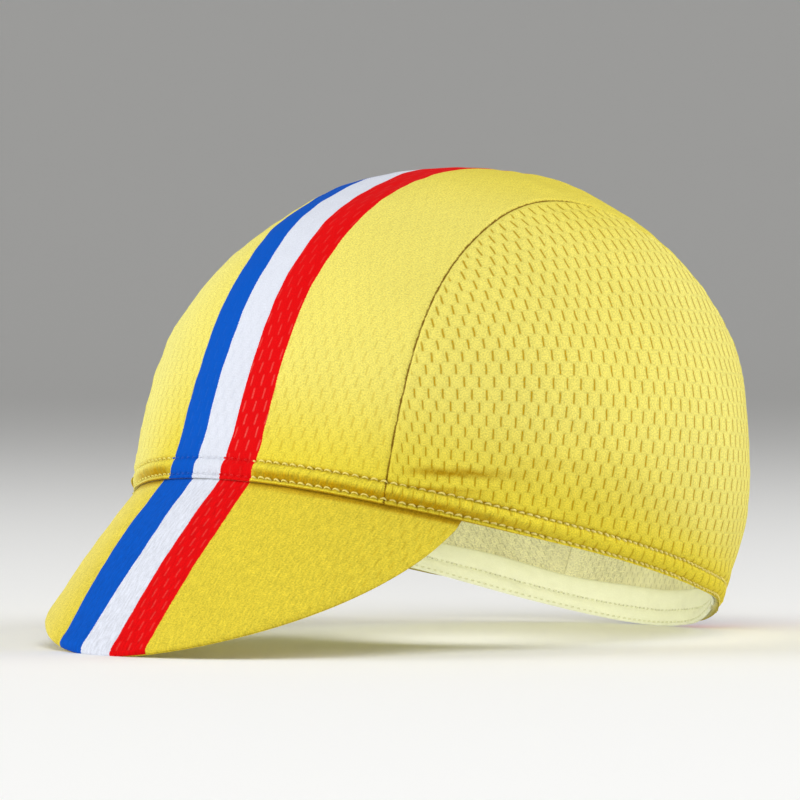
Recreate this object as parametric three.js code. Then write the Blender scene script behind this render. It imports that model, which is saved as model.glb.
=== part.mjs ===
// A three-panel cycling cap: a cloth crown of one centre panel and two side panels, a sweatband
// inside its rim and a short peak turned down in front.
// Millimetres. The peak points along -Y, the wearer's left is +X and +Z is up.
// Each piece is worked out on a crown whose rim lies level. Then the cap is tipped back until it
// rests on the back of its rim and on the front of its peak, as it does by itself on a table.

import * as THREE from "three";

// Driving sizes of the rim and the crown

const RIM_HALF_LENGTH = 98.5;
const RIM_HALF_WIDTH = 77;
const RIM_FRONT_BREADTH = 0.18;
const RIM_CORNER_FULLNESS = 0.04;
const CROWN_HEIGHT = 125;
const CROWN_TOP_SET_BACK = 14;
const CLOTH_THICKNESS = 1.5;

// The rim's small rises and dips, as shares of its half length, each repeating a number of times
const RIM_WAVES = [
  { repeats: 2, rise: -0.01 },
  { repeats: 3, rise: 0.014 },
  { repeats: 4, rise: 0.002 },
];

// How far the crown stands out at each stage from the rim (0) to the top (1), as shares of a plain
// dome over the same rim
const CROWN_SECTIONS = [
  { stage: 0, front: 1, back: 1, side: 1 },
  { stage: 0.15, front: 1.005, back: 1.035, side: 1.15 },
  { stage: 0.3, front: 1.065, back: 1.05, side: 1.21 },
  { stage: 0.5, front: 1.185, back: 1.2, side: 1.1 },
  { stage: 0.75, front: 1.26, back: 1.18, side: 1.07 },
  { stage: 1, front: 1.02, back: 1.02, side: 0.88 },
];

// The seam between centre and side panel, seen from above: along the half length, and out as a
// share of the half width
const SEAM_LINE = [
  { along: -1, out: 0.9 },
  { along: -0.5, out: 0.625 },
  { along: 0, out: 0.47 },
  { along: 0.5, out: 0.43 },
  { along: 1, out: 0.5 },
];
const SEAM_GAP = 0.3;

// Hem: the panels' own cloth turned up and sewn down with two rows of stitches

const HEM_HEIGHT = 9;
const HEM_FOLDS = [
  { up: 0, out: 0.1 },
  { up: 0.12, out: 0.5 },
  { up: 0.28, out: 0.08 },
  { up: 0.62, out: 0.7 },
  { up: 0.95, out: 0.08 },
  { up: 1.15, out: 0.3 },
  { up: 1.6, out: 0 },
];

// Sweatband and peak

const SWEATBAND_HEIGHT = 12;
const SWEATBAND_THICKNESS = 1.4;
const SWEATBAND_EDGE_ROLL = 0.25;
const FIT_GAP = 0.3;

const PEAK_LENGTH = 66;
const PEAK_END_LENGTH = 2.5;
const PEAK_HALF_ANGLE = 55.5;
const PEAK_THICKNESS = 2.6;
const PEAK_SLOPE_AT_RIM = 60;
const PEAK_SLOPE_GAIN = 9;
const PEAK_FAN = 0.1;
const PEAK_SHOULDER = 1.78;
const PEAK_ROUNDNESS = 1.65;

// How much the cloth gives where it rests
const REST_FLATTENING = 0.8;

// Fineness of the faceted surfaces

const DOME_ROWS = 17;
const SIDE_COLUMNS = 22;
const CENTRE_COLUMNS = 14;
const SWEATBAND_COLUMNS = 80;
const SWEATBAND_ROWS = 3;
const PEAK_COLUMNS = 40;
const PEAK_ROWS = 7;
const PEAK_EDGE_STEPS = 3;
const SEARCH_STEPS = 60;

// Cloth colours and finish

const YELLOW = 0xe8d450;
const PALE = 0xeef3cd;
const CLOTH_ROUGHNESS = 0.85;

// Numbers

const QUARTER = Math.PI / 2;
const SLOPE_STEP = 1e-3;

function lerp(a, b, share) {
  return a + (b - a) * share;
}

// A smooth curve through one column of a table, level at its last row
function smoothColumn(rows, place, column) {
  const slopes = rows.map((row, i) => {
    const before = rows[i - 1] || row;
    const after = rows[i + 1];
    return after ? (after[column] - before[column]) / (after[place] - before[place]) : 0;
  });
  return (at) => {
    const first = rows[0];
    const last = rows[rows.length - 1];
    const x = THREE.MathUtils.clamp(at, first[place], last[place]);
    let i = 0;
    while (i < rows.length - 2 && x > rows[i + 1][place]) i += 1;
    const span = rows[i + 1][place] - rows[i][place];
    const u = (x - rows[i][place]) / span;
    const near = rows[i][column];
    const far = rows[i + 1][column];
    const ease = u * u * (3 - 2 * u);
    const leave = u * (1 - u) * (1 - u) * span * slopes[i];
    const arrive = u * u * (u - 1) * span * slopes[i + 1];
    return lerp(near, far, ease) + leave + arrive;
  };
}

// Where a rising or falling function is zero between two ends
function solve(f, low, high) {
  const lowSign = Math.sign(f(low));
  let a = low;
  let b = high;
  for (let i = 0; i < SEARCH_STEPS; i += 1) {
    const middle = (a + b) / 2;
    if (Math.sign(f(middle)) === lowSign) a = middle;
    else b = middle;
  }
  return (a + b) / 2;
}

// Crown: turn is the angle round the rim from the front, positive to the wearer's left, and climb
// is the angle from the rim up to the top

const frontFullness = smoothColumn(CROWN_SECTIONS, "stage", "front");
const backFullness = smoothColumn(CROWN_SECTIONS, "stage", "back");
const sideFullness = smoothColumn(CROWN_SECTIONS, "stage", "side");
const seamOut = smoothColumn(SEAM_LINE, "along", "out");

function rimWave(turn) {
  const shares = RIM_WAVES.map(({ repeats, rise }) => rise * Math.cos(repeats * turn));
  return RIM_HALF_LENGTH * shares.reduce((sum, share) => sum + share, 0);
}

function crownPoint(turn, climb) {
  const stage = climb / QUARTER;
  const up = Math.sin(climb);
  const level = Math.cos(climb);
  const setBack = CROWN_TOP_SET_BACK * up * up;
  const front = RIM_HALF_LENGTH * level * frontFullness(stage) - setBack;
  const back = RIM_HALF_LENGTH * level * backFullness(stage) + setBack;
  const side = RIM_HALF_WIDTH * level * sideFullness(stage);
  const corner = 1 + RIM_CORNER_FULLNESS * Math.sin(2 * turn) ** 2;
  const breadth = 1 + RIM_FRONT_BREADTH * Math.cos(turn);
  return new THREE.Vector3(
    corner * breadth * side * Math.sin(turn),
    (back - front) / 2 - (corner * (back + front) * Math.cos(turn)) / 2,
    CROWN_HEIGHT * up + rimWave(turn) * level * level,
  );
}

// The same surface from a place on a flat disc, whose edge is the rim and whose middle is the top
function crownFromDisc(x, y) {
  return crownPoint(Math.atan2(x, -y), (1 - Math.hypot(x, y)) * QUARTER);
}

function discPlace(turn, climb) {
  const radius = 1 - climb / QUARTER;
  return { x: radius * Math.sin(turn), y: -radius * Math.cos(turn) };
}

function crownNormal(place) {
  const right = crownFromDisc(place.x + SLOPE_STEP, place.y);
  const left = crownFromDisc(place.x - SLOPE_STEP, place.y);
  const behind = crownFromDisc(place.x, place.y + SLOPE_STEP);
  const ahead = crownFromDisc(place.x, place.y - SLOPE_STEP);
  return right.sub(left).cross(behind.sub(ahead)).normalize();
}

function crownOffset(place, out) {
  return crownFromDisc(place.x, place.y).addScaledVector(crownNormal(place), out);
}

const climbAtHeight = (height) => Math.asin(height / CROWN_HEIGHT);

const hemFold = smoothColumn(HEM_FOLDS, "up", "out");

function hemRelief(place) {
  const climb = (1 - Math.hypot(place.x, place.y)) * QUARTER;
  const up = (CROWN_HEIGHT * Math.sin(climb)) / HEM_HEIGHT;
  return CLOTH_THICKNESS * hemFold(up);
}

// Seam between the panels

function beyondSeam(turn, climb) {
  const { x, y } = crownPoint(turn, climb);
  return x - RIM_HALF_WIDTH * seamOut(y / RIM_HALF_LENGTH);
}

function widestTurn(climb) {
  const turns = Array.from({ length: SEARCH_STEPS }, (_, i) => (Math.PI * i) / SEARCH_STEPS);
  const excess = turns.map((turn) => beyondSeam(turn, climb));
  return turns[excess.indexOf(Math.max(...excess))];
}

const SEAM_TOP = solve((climb) => beyondSeam(widestTurn(climb), climb), 0, QUARTER);

// The climbs that the panels' rows follow: the hem's folds, then closer and closer to the seam's top
function panelClimbs() {
  const hem = HEM_FOLDS.map(({ up }) => climbAtHeight(up * HEM_HEIGHT));
  const start = hem[hem.length - 1];
  const dome = Array.from({ length: DOME_ROWS }, (_, i) => {
    const left = 1 - (i + 1) / (DOME_ROWS + 1);
    return lerp(SEAM_TOP, start, left * left);
  });
  return [...hem, ...dome];
}

const SEAM_ROWS = panelClimbs().map((climb) => {
  const widest = widestTurn(climb);
  const excess = (turn) => beyondSeam(turn, climb);
  return { climb, front: solve(excess, 0, widest), back: solve(excess, widest, Math.PI) };
});

// Solids from two facing grids of points

// A closed mesh between an outer and an inner grid. A ring's columns join up at the ends.
function closedShell(outer, inner, isRing) {
  const rows = outer.length;
  const columns = outer[0].length;
  const points = [...outer.flat(), ...inner.flat()];
  const innerStart = rows * columns;
  const index = [];
  const at = (row, column) => row * columns + (column % columns);
  const quad = (a, b, c, d) => index.push(a, b, c, a, c, d);
  const lastColumn = isRing ? columns : columns - 1;
  for (let i = 0; i < rows - 1; i += 1) {
    for (let j = 0; j < lastColumn; j += 1) {
      const a = at(i, j);
      const b = at(i, j + 1);
      const c = at(i + 1, j + 1);
      const d = at(i + 1, j);
      quad(a, b, c, d);
      quad(innerStart + a, innerStart + d, innerStart + c, innerStart + b);
    }
  }
  const rim = (a, b) => quad(a, innerStart + a, innerStart + b, b);
  for (let j = 0; j < lastColumn; j += 1) {
    rim(at(0, j), at(0, j + 1));
    rim(at(rows - 1, j + 1), at(rows - 1, j));
  }
  if (!isRing) {
    for (let i = 0; i < rows - 1; i += 1) {
      rim(at(i + 1, 0), at(i, 0));
      rim(at(i, columns - 1), at(i + 1, columns - 1));
    }
  }
  return { points, index };
}

// A panel's solid from a grid of disc places, its long edges drawn in from the seam
function panelShell(places, drawIn) {
  const surface = (out) =>
    places.map((row, i) =>
      row.map((place, j) => {
        const point = crownOffset(place, out(place));
        point.x += drawIn(i, j);
        return point;
      }),
    );
  return closedShell(surface(hemRelief), surface(() => -CLOTH_THICKNESS), false);
}

function sidePanelLeft() {
  const places = SEAM_ROWS.map(({ climb, front, back }) =>
    Array.from({ length: SIDE_COLUMNS + 1 }, (_, j) =>
      discPlace(lerp(front, back, j / SIDE_COLUMNS), climb),
    ),
  );
  const topRow = places.length - 1;
  const isEdge = (i, j) => j === 0 || j === SIDE_COLUMNS || i === topRow;
  return panelShell(places, (i, j) => (isEdge(i, j) ? SEAM_GAP / 2 : 0));
}

// One row of the centre panel, from seam to seam: along the rim it follows the rim's curve, and
// towards the top it straightens
function centreRow(turn, climb, curve) {
  return Array.from({ length: CENTRE_COLUMNS + 1 }, (_, j) => {
    const across = (2 * j) / CENTRE_COLUMNS - 1;
    const edge = discPlace(turn, climb);
    const curved = discPlace(across * turn, climb);
    return {
      x: lerp(across * edge.x, curved.x, curve),
      y: lerp(edge.y, curved.y, curve),
    };
  });
}

function centrePanel() {
  const hemTop = SEAM_ROWS[HEM_FOLDS.length - 1].climb;
  const curveAt = (climb) => Math.min(1, (SEAM_TOP - climb) / (SEAM_TOP - hemTop));
  const ahead = SEAM_ROWS.map(({ climb, front }) => centreRow(front, climb, curveAt(climb)));
  const behind = SEAM_ROWS.map(({ climb, back }) =>
    centreRow(Math.PI - back, climb, curveAt(climb)).map(({ x, y }) => ({ x, y: -y })),
  );
  const places = [...ahead, ...behind.reverse()];
  const drawIn = (i, j) => {
    if (j === 0) return SEAM_GAP / 2;
    if (j === CENTRE_COLUMNS) return -SEAM_GAP / 2;
    return 0;
  };
  return panelShell(places, drawIn);
}

// The sweatband lies inside the hem, a little clear of it
function sweatband() {
  const ring = (out) =>
    Array.from({ length: SWEATBAND_ROWS + 1 }, (_, i) => {
      const share = i / SWEATBAND_ROWS;
      const isEdge = i === 0 || i === SWEATBAND_ROWS;
      const roll = isEdge ? SWEATBAND_EDGE_ROLL : 0;
      const climb = climbAtHeight(share * SWEATBAND_HEIGHT);
      return Array.from({ length: SWEATBAND_COLUMNS }, (__, j) => {
        const turn = (2 * Math.PI * j) / SWEATBAND_COLUMNS;
        return crownOffset(discPlace(turn, climb), out(roll));
      });
    });
  const near = -(CLOTH_THICKNESS + FIT_GAP);
  const far = near - SWEATBAND_THICKNESS;
  return closedShell(
    ring((roll) => near - roll),
    ring((roll) => far + roll),
    true,
  );
}

// Peak: straight lines run down and forward from the rim, a little steeper towards the tip

function peakReach(turn) {
  const share = Math.abs(turn) / THREE.MathUtils.degToRad(PEAK_HALF_ANGLE);
  const outline = (1 - Math.min(1, share) ** PEAK_SHOULDER) ** (1 / PEAK_ROUNDNESS);
  return Math.max(PEAK_END_LENGTH, PEAK_LENGTH * outline);
}

function peakPoint(turn, along) {
  const slope = THREE.MathUtils.degToRad(PEAK_SLOPE_AT_RIM);
  const bend = THREE.MathUtils.degToRad(PEAK_SLOPE_GAIN) / PEAK_LENGTH;
  const forward = (Math.sin(slope + bend * along) - Math.sin(slope)) / bend;
  const down = (Math.cos(slope) - Math.cos(slope + bend * along)) / bend;
  const root = crownPoint(turn, 0);
  return new THREE.Vector3(
    root.x + PEAK_FAN * Math.sin(turn) * along,
    root.y - forward,
    root.z - down - FIT_GAP,
  );
}

function peakNormal(turn, along) {
  const across = peakPoint(turn + SLOPE_STEP, along).sub(peakPoint(turn - SLOPE_STEP, along));
  const onward = peakPoint(turn, along + SLOPE_STEP).sub(peakPoint(turn, along - SLOPE_STEP));
  return onward.cross(across).normalize();
}

// How far along each row of the peak lies, and how much of the thickness it has: the edge is round
function peakRows(reach) {
  const radius = PEAK_THICKNESS / 2;
  const body = Array.from({ length: PEAK_ROWS }, (_, i) => ({
    along: ((reach - radius) * i) / PEAK_ROWS,
    fullness: 1,
  }));
  const edge = Array.from({ length: PEAK_EDGE_STEPS + 1 }, (_, i) => {
    const angle = (QUARTER * i) / (PEAK_EDGE_STEPS + 1);
    return { along: reach - radius + radius * Math.sin(angle), fullness: Math.cos(angle) };
  });
  return [...body, ...edge];
}

function peak() {
  const halfAngle = THREE.MathUtils.degToRad(PEAK_HALF_ANGLE);
  const surface = (side) => {
    const columns = Array.from({ length: PEAK_COLUMNS + 1 }, (_, j) => {
      const turn = lerp(-halfAngle, halfAngle, j / PEAK_COLUMNS);
      return peakRows(peakReach(turn)).map(({ along, fullness }) => {
        const depth = (PEAK_THICKNESS * (1 - side * fullness)) / 2;
        return peakPoint(turn, along).addScaledVector(peakNormal(turn, along), -depth);
      });
    });
    return columns[0].map((_, i) => columns.map((column) => column[i]).reverse());
  };
  return closedShell(surface(1), surface(-1), false);
}

// Resting place

const SHELLS = {
  centre_panel: centrePanel(),
  side_panel_left: sidePanelLeft(),
  sweatband: sweatband(),
  peak: peak(),
};

function lowest({ points }, tip) {
  return Math.min(...points.map(({ y, z }) => z * Math.cos(tip) - y * Math.sin(tip)));
}

// Tipped back by this angle, the peak and the back of the rim are equally low
const TIP = solve((tip) => lowest(SHELLS.peak, tip) - lowest(SHELLS.centre_panel, tip), 0, QUARTER / 2);
const FLOOR = lowest(SHELLS.peak, TIP) + REST_FLATTENING;

function rested({ x, y, z }) {
  const height = z * Math.cos(TIP) - y * Math.sin(TIP) - FLOOR;
  return new THREE.Vector3(x, y * Math.cos(TIP) + z * Math.sin(TIP), Math.max(0, height));
}

// Named meshes

function meshFrom(name, { points, index }, color) {
  const geometry = new THREE.BufferGeometry().setFromPoints(points.map(rested)).setIndex(index);
  geometry.computeVertexNormals();
  const material = new THREE.MeshStandardMaterial({
    color,
    roughness: CLOTH_ROUGHNESS,
    metalness: 0,
  });
  const mesh = new THREE.Mesh(geometry, material);
  mesh.name = name;
  return mesh;
}

// The same solid seen in a mirror: each face is turned round, so that it still faces out
function mirrored({ points, index }) {
  return {
    points: points.map(({ x, y, z }) => new THREE.Vector3(-x, y, z)),
    index: [...index].reverse(),
  };
}

const cap = new THREE.Group();
cap.add(
  meshFrom("centre_panel", SHELLS.centre_panel, YELLOW),
  meshFrom("side_panel_left", SHELLS.side_panel_left, YELLOW),
  meshFrom("side_panel_right", mirrored(SHELLS.side_panel_left), YELLOW),
  meshFrom("sweatband", SHELLS.sweatband, PALE),
  meshFrom("peak", SHELLS.peak, YELLOW),
);

// The frame's zero is under the middle of the whole cap
const box = new THREE.Box3().setFromObject(cap);
const middle = box.getCenter(new THREE.Vector3());
cap.position.set(-middle.x, -middle.y, -box.min.z);

export default cap;
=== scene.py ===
"""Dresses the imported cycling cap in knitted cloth, printed stripes, seams and stitches.

Lengths are in millimetres on a crown whose rim lies level. Rest.place() then tips the cap back to
where it rests and gives metres of the row frame.
"""

import logging
import math
from dataclasses import dataclass, field
from enum import Enum

import bpy
import numpy as np
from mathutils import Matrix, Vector


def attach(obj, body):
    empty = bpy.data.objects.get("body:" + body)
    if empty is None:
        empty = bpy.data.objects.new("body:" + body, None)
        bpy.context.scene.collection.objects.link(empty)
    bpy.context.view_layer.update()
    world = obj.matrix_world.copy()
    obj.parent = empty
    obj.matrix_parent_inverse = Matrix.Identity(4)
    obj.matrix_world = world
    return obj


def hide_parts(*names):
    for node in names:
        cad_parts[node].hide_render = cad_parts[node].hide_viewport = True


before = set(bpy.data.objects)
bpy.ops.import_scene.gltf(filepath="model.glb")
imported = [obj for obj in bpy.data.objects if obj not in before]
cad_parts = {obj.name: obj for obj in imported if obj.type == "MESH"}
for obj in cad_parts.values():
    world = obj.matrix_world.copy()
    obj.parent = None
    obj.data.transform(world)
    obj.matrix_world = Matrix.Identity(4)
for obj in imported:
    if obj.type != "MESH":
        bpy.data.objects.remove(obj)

LOG = logging.getLogger("cap")
Array = np.ndarray
MM = 0.001
QUARTER = math.pi / 2
BODY = "root"
FULL_TURN = 2 * math.pi

# How finely the rim and the seam are walked, and how often a search halves its range
RIM_TURNS = 721
SEAM_TURNS = 361
HALVINGS = 40
FINE_HALVINGS = 50

# Distances in mm, in the fields that the finishes read, at which nothing is sewn or printed
NO_SEAM = 9.0
NO_SEWING = 30.0
NO_PRINT = 60.0

# How far apart, in mm, the cloth's two faces lie in the noise that grains them
LAYER_STEP = 50.0

# What every cloth's shader shares
SHEEN_ROUGHNESS = 0.45
CLOTH_SPECULAR = 0.06


class Side(Enum):
    """The wearer's side that a panel is on, as the sign of its X."""

    LEFT = 1
    RIGHT = -1


class Slot(Enum):
    """The material slots' names."""

    CROWN = "crown_cloth"
    BAND = "sweatband_cloth"
    PEAK = "peak_cloth"


# Plain helpers


def bell(x: Array, middle: float, width: float) -> Array:
    """A smooth bump at x: 1 at the middle, and about a third one width away from it."""
    return np.exp(-(((x - middle) / width) ** 2))


def step(x: Array, low: float, high: float) -> Array:
    """A smooth rise at x, from 0 at low to 1 at high."""
    t = np.clip((x - low) / (high - low), 0, 1)
    return t * t * (3 - 2 * t)


def ripple(u: Array, v: Array, length: float, seed: int, terms: int = 7) -> Array:
    """An even, irregular waviness that is the same on each run.

    Args:
        u: First coordinate, in mm.
        v: Second coordinate, in mm.
        length: The typical wave's length, in mm.
        seed: Picks the waves.
        terms: How many waves are summed.

    Returns:
        Heights with a spread of about 1.
    """
    rng = np.random.default_rng(seed)
    total = np.zeros(np.broadcast(u, v).shape)
    for _ in range(terms):
        angle, phase = rng.uniform(0, 2 * math.pi, 2)
        turns = 2 * math.pi / (length * rng.uniform(0.7, 1.5))
        total += np.sin(turns * (u * math.cos(angle) + v * math.sin(angle)) + phase)
    return total / math.sqrt(terms / 2)


def run_length(points: Array) -> Array:
    """Distance walked along each line of points.

    Args:
        points: Points in an array whose last axis is x, y, z and whose last but one runs along.

    Returns:
        The length from the line's start to each point.
    """
    steps = np.linalg.norm(np.diff(points, axis=-2), axis=-1)
    start = np.zeros(steps.shape[:-1] + (1,))
    return np.concatenate([start, np.cumsum(steps, axis=-1)], axis=-1)


@dataclass(frozen=True)
class Profile:
    """A smooth curve through a few points, level at its last one."""

    places: tuple[float, ...]
    values: tuple[float, ...]

    def __call__(self, at: Array) -> Array:
        """Reads the curve.

        Args:
            at: Where it is read. Past an end it keeps the end's value.

        Returns:
            The curve's value at each place.
        """
        xs, ys = np.array(self.places), np.array(self.values)
        before = np.maximum(np.arange(len(xs) - 1) - 1, 0)
        after = np.arange(1, len(xs))
        slopes = np.append((ys[after] - ys[before]) / (xs[after] - xs[before]), 0)
        x = np.clip(at, xs[0], xs[-1])
        i = np.clip(np.searchsorted(xs, x, side="left") - 1, 0, len(xs) - 2)
        span = xs[i + 1] - xs[i]
        u = (x - xs[i]) / span
        ease = u * u * (3 - 2 * u)
        leave = u * (1 - u) ** 2 * span * slopes[i]
        arrive = u * u * (u - 1) * span * slopes[i + 1]
        return ys[i] + (ys[i + 1] - ys[i]) * ease + leave + arrive


# The cap's form, as the solids have it


@dataclass(frozen=True)
class CapForm:
    """The crown's and the peak's surfaces, on a crown whose rim lies level."""

    half_length: float = 98.5
    half_width: float = 77.0
    front_breadth: float = 0.18
    corner_fullness: float = 0.04
    height: float = 125.0
    top_set_back: float = 14.0
    waves: tuple[tuple[int, float], ...] = ((2, -0.01), (3, 0.014), (4, 0.002))
    front: Profile = Profile((0, 0.15, 0.3, 0.5, 0.75, 1), (1, 1.005, 1.065, 1.185, 1.26, 1.02))
    back: Profile = Profile((0, 0.15, 0.3, 0.5, 0.75, 1), (1, 1.035, 1.05, 1.2, 1.18, 1.02))
    side: Profile = Profile((0, 0.15, 0.3, 0.5, 0.75, 1), (1, 1.15, 1.21, 1.1, 1.07, 0.88))
    seam: Profile = Profile((-1, -0.5, 0, 0.5, 1), (0.9, 0.625, 0.47, 0.43, 0.5))
    peak_length: float = 66.0
    peak_end: float = 2.5
    peak_half_angle: float = math.radians(55.5)
    peak_thickness: float = 2.6
    peak_slope: float = math.radians(60)
    peak_gain: float = math.radians(9)
    peak_fan: float = 0.1
    peak_shoulder: float = 1.78
    peak_roundness: float = 1.65
    peak_drop: float = 0.3

    def crown(self, turn: Array, climb: Array) -> Array:
        """Points of the crown.

        Args:
            turn: Angle round the rim from the front, positive to the wearer's left.
            climb: Angle up from the rim, a quarter turn at the top.

        Returns:
            The points, with x, y, z on the last axis.
        """
        stage, up, level = climb / QUARTER, np.sin(climb), np.cos(climb)
        set_back = self.top_set_back * up * up
        front = self.half_length * level * self.front(stage) - set_back
        back = self.half_length * level * self.back(stage) + set_back
        side = self.half_width * level * self.side(stage)
        corner = 1 + self.corner_fullness * np.sin(2 * turn) ** 2
        breadth = 1 + self.front_breadth * np.cos(turn)
        wave = sum(rise * np.cos(repeats * turn) for repeats, rise in self.waves)
        x = corner * breadth * side * np.sin(turn)
        y = (back - front) / 2 - corner * (back + front) * np.cos(turn) / 2
        z = self.height * up + self.half_length * wave * level * level
        return np.stack(np.broadcast_arrays(x, y, z), axis=-1)

    def on_disc(self, turn: Array, climb: Array) -> Array:
        """Places, x and y, on a flat disc whose edge is the rim and whose middle is the top."""
        radius = 1 - climb / QUARTER
        return np.stack([radius * np.sin(turn), -radius * np.cos(turn)], axis=-1)

    def from_disc(self, place: Array) -> tuple[Array, Array]:
        """The turn and the climb of places on the disc."""
        x, y = place[..., 0], place[..., 1]
        return np.arctan2(x, -y), (1 - np.hypot(x, y)) * QUARTER

    def surface(self, place: Array) -> tuple[Array, Array]:
        """The crown's points and outward directions at places on the disc.

        Args:
            place: Places, with x, y on the last axis.

        Returns:
            The points and the unit normals.
        """
        h = 1e-3
        x, y = np.array([h, 0]), np.array([0, h])
        right, left, behind, ahead = (
            self.crown(*self.from_disc(place + move)) for move in (x, -x, y, -y)
        )
        normal = np.cross(right - left, behind - ahead)
        normal /= np.linalg.norm(normal, axis=-1, keepdims=True)
        return self.crown(*self.from_disc(place)), normal

    def climb_at(self, height: Array) -> Array:
        """The climb at a height above the rim."""
        return np.arcsin(np.asarray(height) / self.height)

    def rim_run(self) -> tuple[Array, Array]:
        """Turns from the rim's front to its back, and the distance along the rim to each."""
        turns = np.linspace(0, math.pi, RIM_TURNS)
        return turns, run_length(self.crown(turns, 0 * turns))

    def around(self, turn: Array) -> Array:
        """Distance along the rim from its front, positive to the wearer's left."""
        turns, run = self.rim_run()
        return np.sign(turn) * np.interp(np.abs(turn), turns, run)

    def turn_at(self, around: Array) -> Array:
        """The turn at a distance along the rim from its front."""
        turns, run = self.rim_run()
        return np.sign(around) * np.interp(np.abs(around), run, turns)

    def half_girth(self) -> float:
        """The distance along the rim from its front to its back."""
        return float(self.around(np.array(math.pi)))

    def beyond_seam(self, turn: Array, climb: Array) -> Array:
        """How far outside the seam, in x, the crown's points are."""
        point = self.crown(turn, climb)
        return point[..., 0] - self.half_width * self.seam(point[..., 1] / self.half_length)

    def seam_turns(self, climb: Array) -> tuple[Array, Array, Array]:
        """Where rows of the crown meet the seam.

        Args:
            climb: One climb for each row.

        Returns:
            The turn at the front seam, the turn at the back seam and how far the row's widest point
            is beyond the seam.
        """
        turns = np.linspace(0, math.pi, SEAM_TURNS)
        excess = self.beyond_seam(turns[None, :], np.asarray(climb)[:, None])
        best = excess.argmax(axis=1)
        widest = turns[best]
        ends = []
        for low, high, sign in ((0 * widest, widest, 1), (widest, 0 * widest + math.pi, -1)):
            for _ in range(FINE_HALVINGS):
                middle = (low + high) / 2
                inside = sign * self.beyond_seam(middle, climb) > 0
                low, high = np.where(inside, low, middle), np.where(inside, middle, high)
            ends.append((low + high) / 2)
        return ends[0], ends[1], excess[np.arange(len(best)), best]

    def seam_top(self) -> float:
        """The climb at which the side panel ends."""
        low, high = 0.0, QUARTER
        for _ in range(HALVINGS):
            middle = (low + high) / 2
            if self.seam_turns(np.array([middle]))[2][0] > 0:
                low = middle
            else:
                high = middle
        return low

    def peak_reach(self, turn: Array) -> Array:
        """How far the peak reaches from the rim.

        Args:
            turn: Turns on the rim.

        Returns:
            The length at each turn, in mm.
        """
        share = np.minimum(1, np.abs(turn) / self.peak_half_angle)
        outline = (1 - share**self.peak_shoulder) ** (1 / self.peak_roundness)
        return np.maximum(self.peak_end, self.peak_length * outline)

    def peak(self, turn: Array, along: Array) -> Array:
        """Points of the peak's upper face.

        Args:
            turn: The turn of the line's root on the rim.
            along: The distance down that line.

        Returns:
            The points, with x, y, z on the last axis.
        """
        bend = self.peak_gain / self.peak_length
        here = self.peak_slope + bend * along
        forward = (np.sin(here) - math.sin(self.peak_slope)) / bend
        down = (math.cos(self.peak_slope) - np.cos(here)) / bend
        root = self.crown(turn, 0 * turn)
        x = root[..., 0] + self.peak_fan * np.sin(turn) * along
        return np.stack([x, root[..., 1] - forward, root[..., 2] - down - self.peak_drop], axis=-1)

    def peak_normal(self, turn: Array, along: Array) -> Array:
        """The upward direction of the peak's upper face.

        Args:
            turn: The turn of the line's root on the rim.
            along: The distance down that line.

        Returns:
            The unit normals.
        """
        h = 1e-3
        across = self.peak(turn + h, along) - self.peak(turn - h, along)
        onward = self.peak(turn, along + h) - self.peak(turn, along - h)
        normal = np.cross(onward, across)
        return normal / np.linalg.norm(normal, axis=-1, keepdims=True)


@dataclass(frozen=True)
class Stretch:
    """How a panel's cloth is stretched: sums of powers of its plain coordinates, in 100 mm."""

    across: tuple[tuple[float, int, int], ...]
    along: tuple[tuple[float, int, int], ...]
    unit: float = 100.0

    def apply(self, across: Array, along: Array) -> tuple[Array, Array]:
        """The place on the unstretched cloth.

        Args:
            across: Plain place across the knit's columns, in mm.
            along: Plain place along them, in mm.

        Returns:
            The place on the cloth, in mm.
        """
        a, b = across / self.unit, along / self.unit
        return (
            sum(share * a**i * b**j for share, i, j in self.across),
            sum(share * a**i * b**j for share, i, j in self.along),
        )


SIDE_STRETCH = Stretch(
    across=(
        (127.0, 1, 0), (-14.5, 0, 1), (-25.0, 2, 0), (2.3, 4, 0), (13.0, 1, 3), (-27.0, 0, 2),
        (45.0, 0, 4),
    ),
    along=((121.0, 0, 1), (-37.0, 1, 1), (-24.5, 0, 2), (5.2, 3, 1), (4.8, 1, 0), (31.0, 0, 4)),
)


@dataclass(frozen=True)
class Rest:
    """How the cap lies: tipped back onto its peak and the back of its rim."""

    tip: float = 0.25193175
    floor: float = -25.898031
    middle: float = -13.228237

    def turned(self, points: Array) -> Array:
        """Tips points back, still in mm.

        Args:
            points: Points on the level crown.

        Returns:
            The points as they lie, with z from the floor.
        """
        c, s = math.cos(self.tip), math.sin(self.tip)
        x, y, z = points[..., 0], points[..., 1], points[..., 2]
        return np.stack([x, y * c + z * s - self.middle, z * c - y * s - self.floor], axis=-1)

    def place(self, points: Array) -> Array:
        """Lays points down, pressed flat where they meet the floor.

        Args:
            points: Points on the level crown, in mm.

        Returns:
            The points in metres of the row frame.
        """
        lying = self.turned(points)
        lying[..., 2] = np.maximum(lying[..., 2], 0)
        return lying * MM


# Meshes from grids of points


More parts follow.
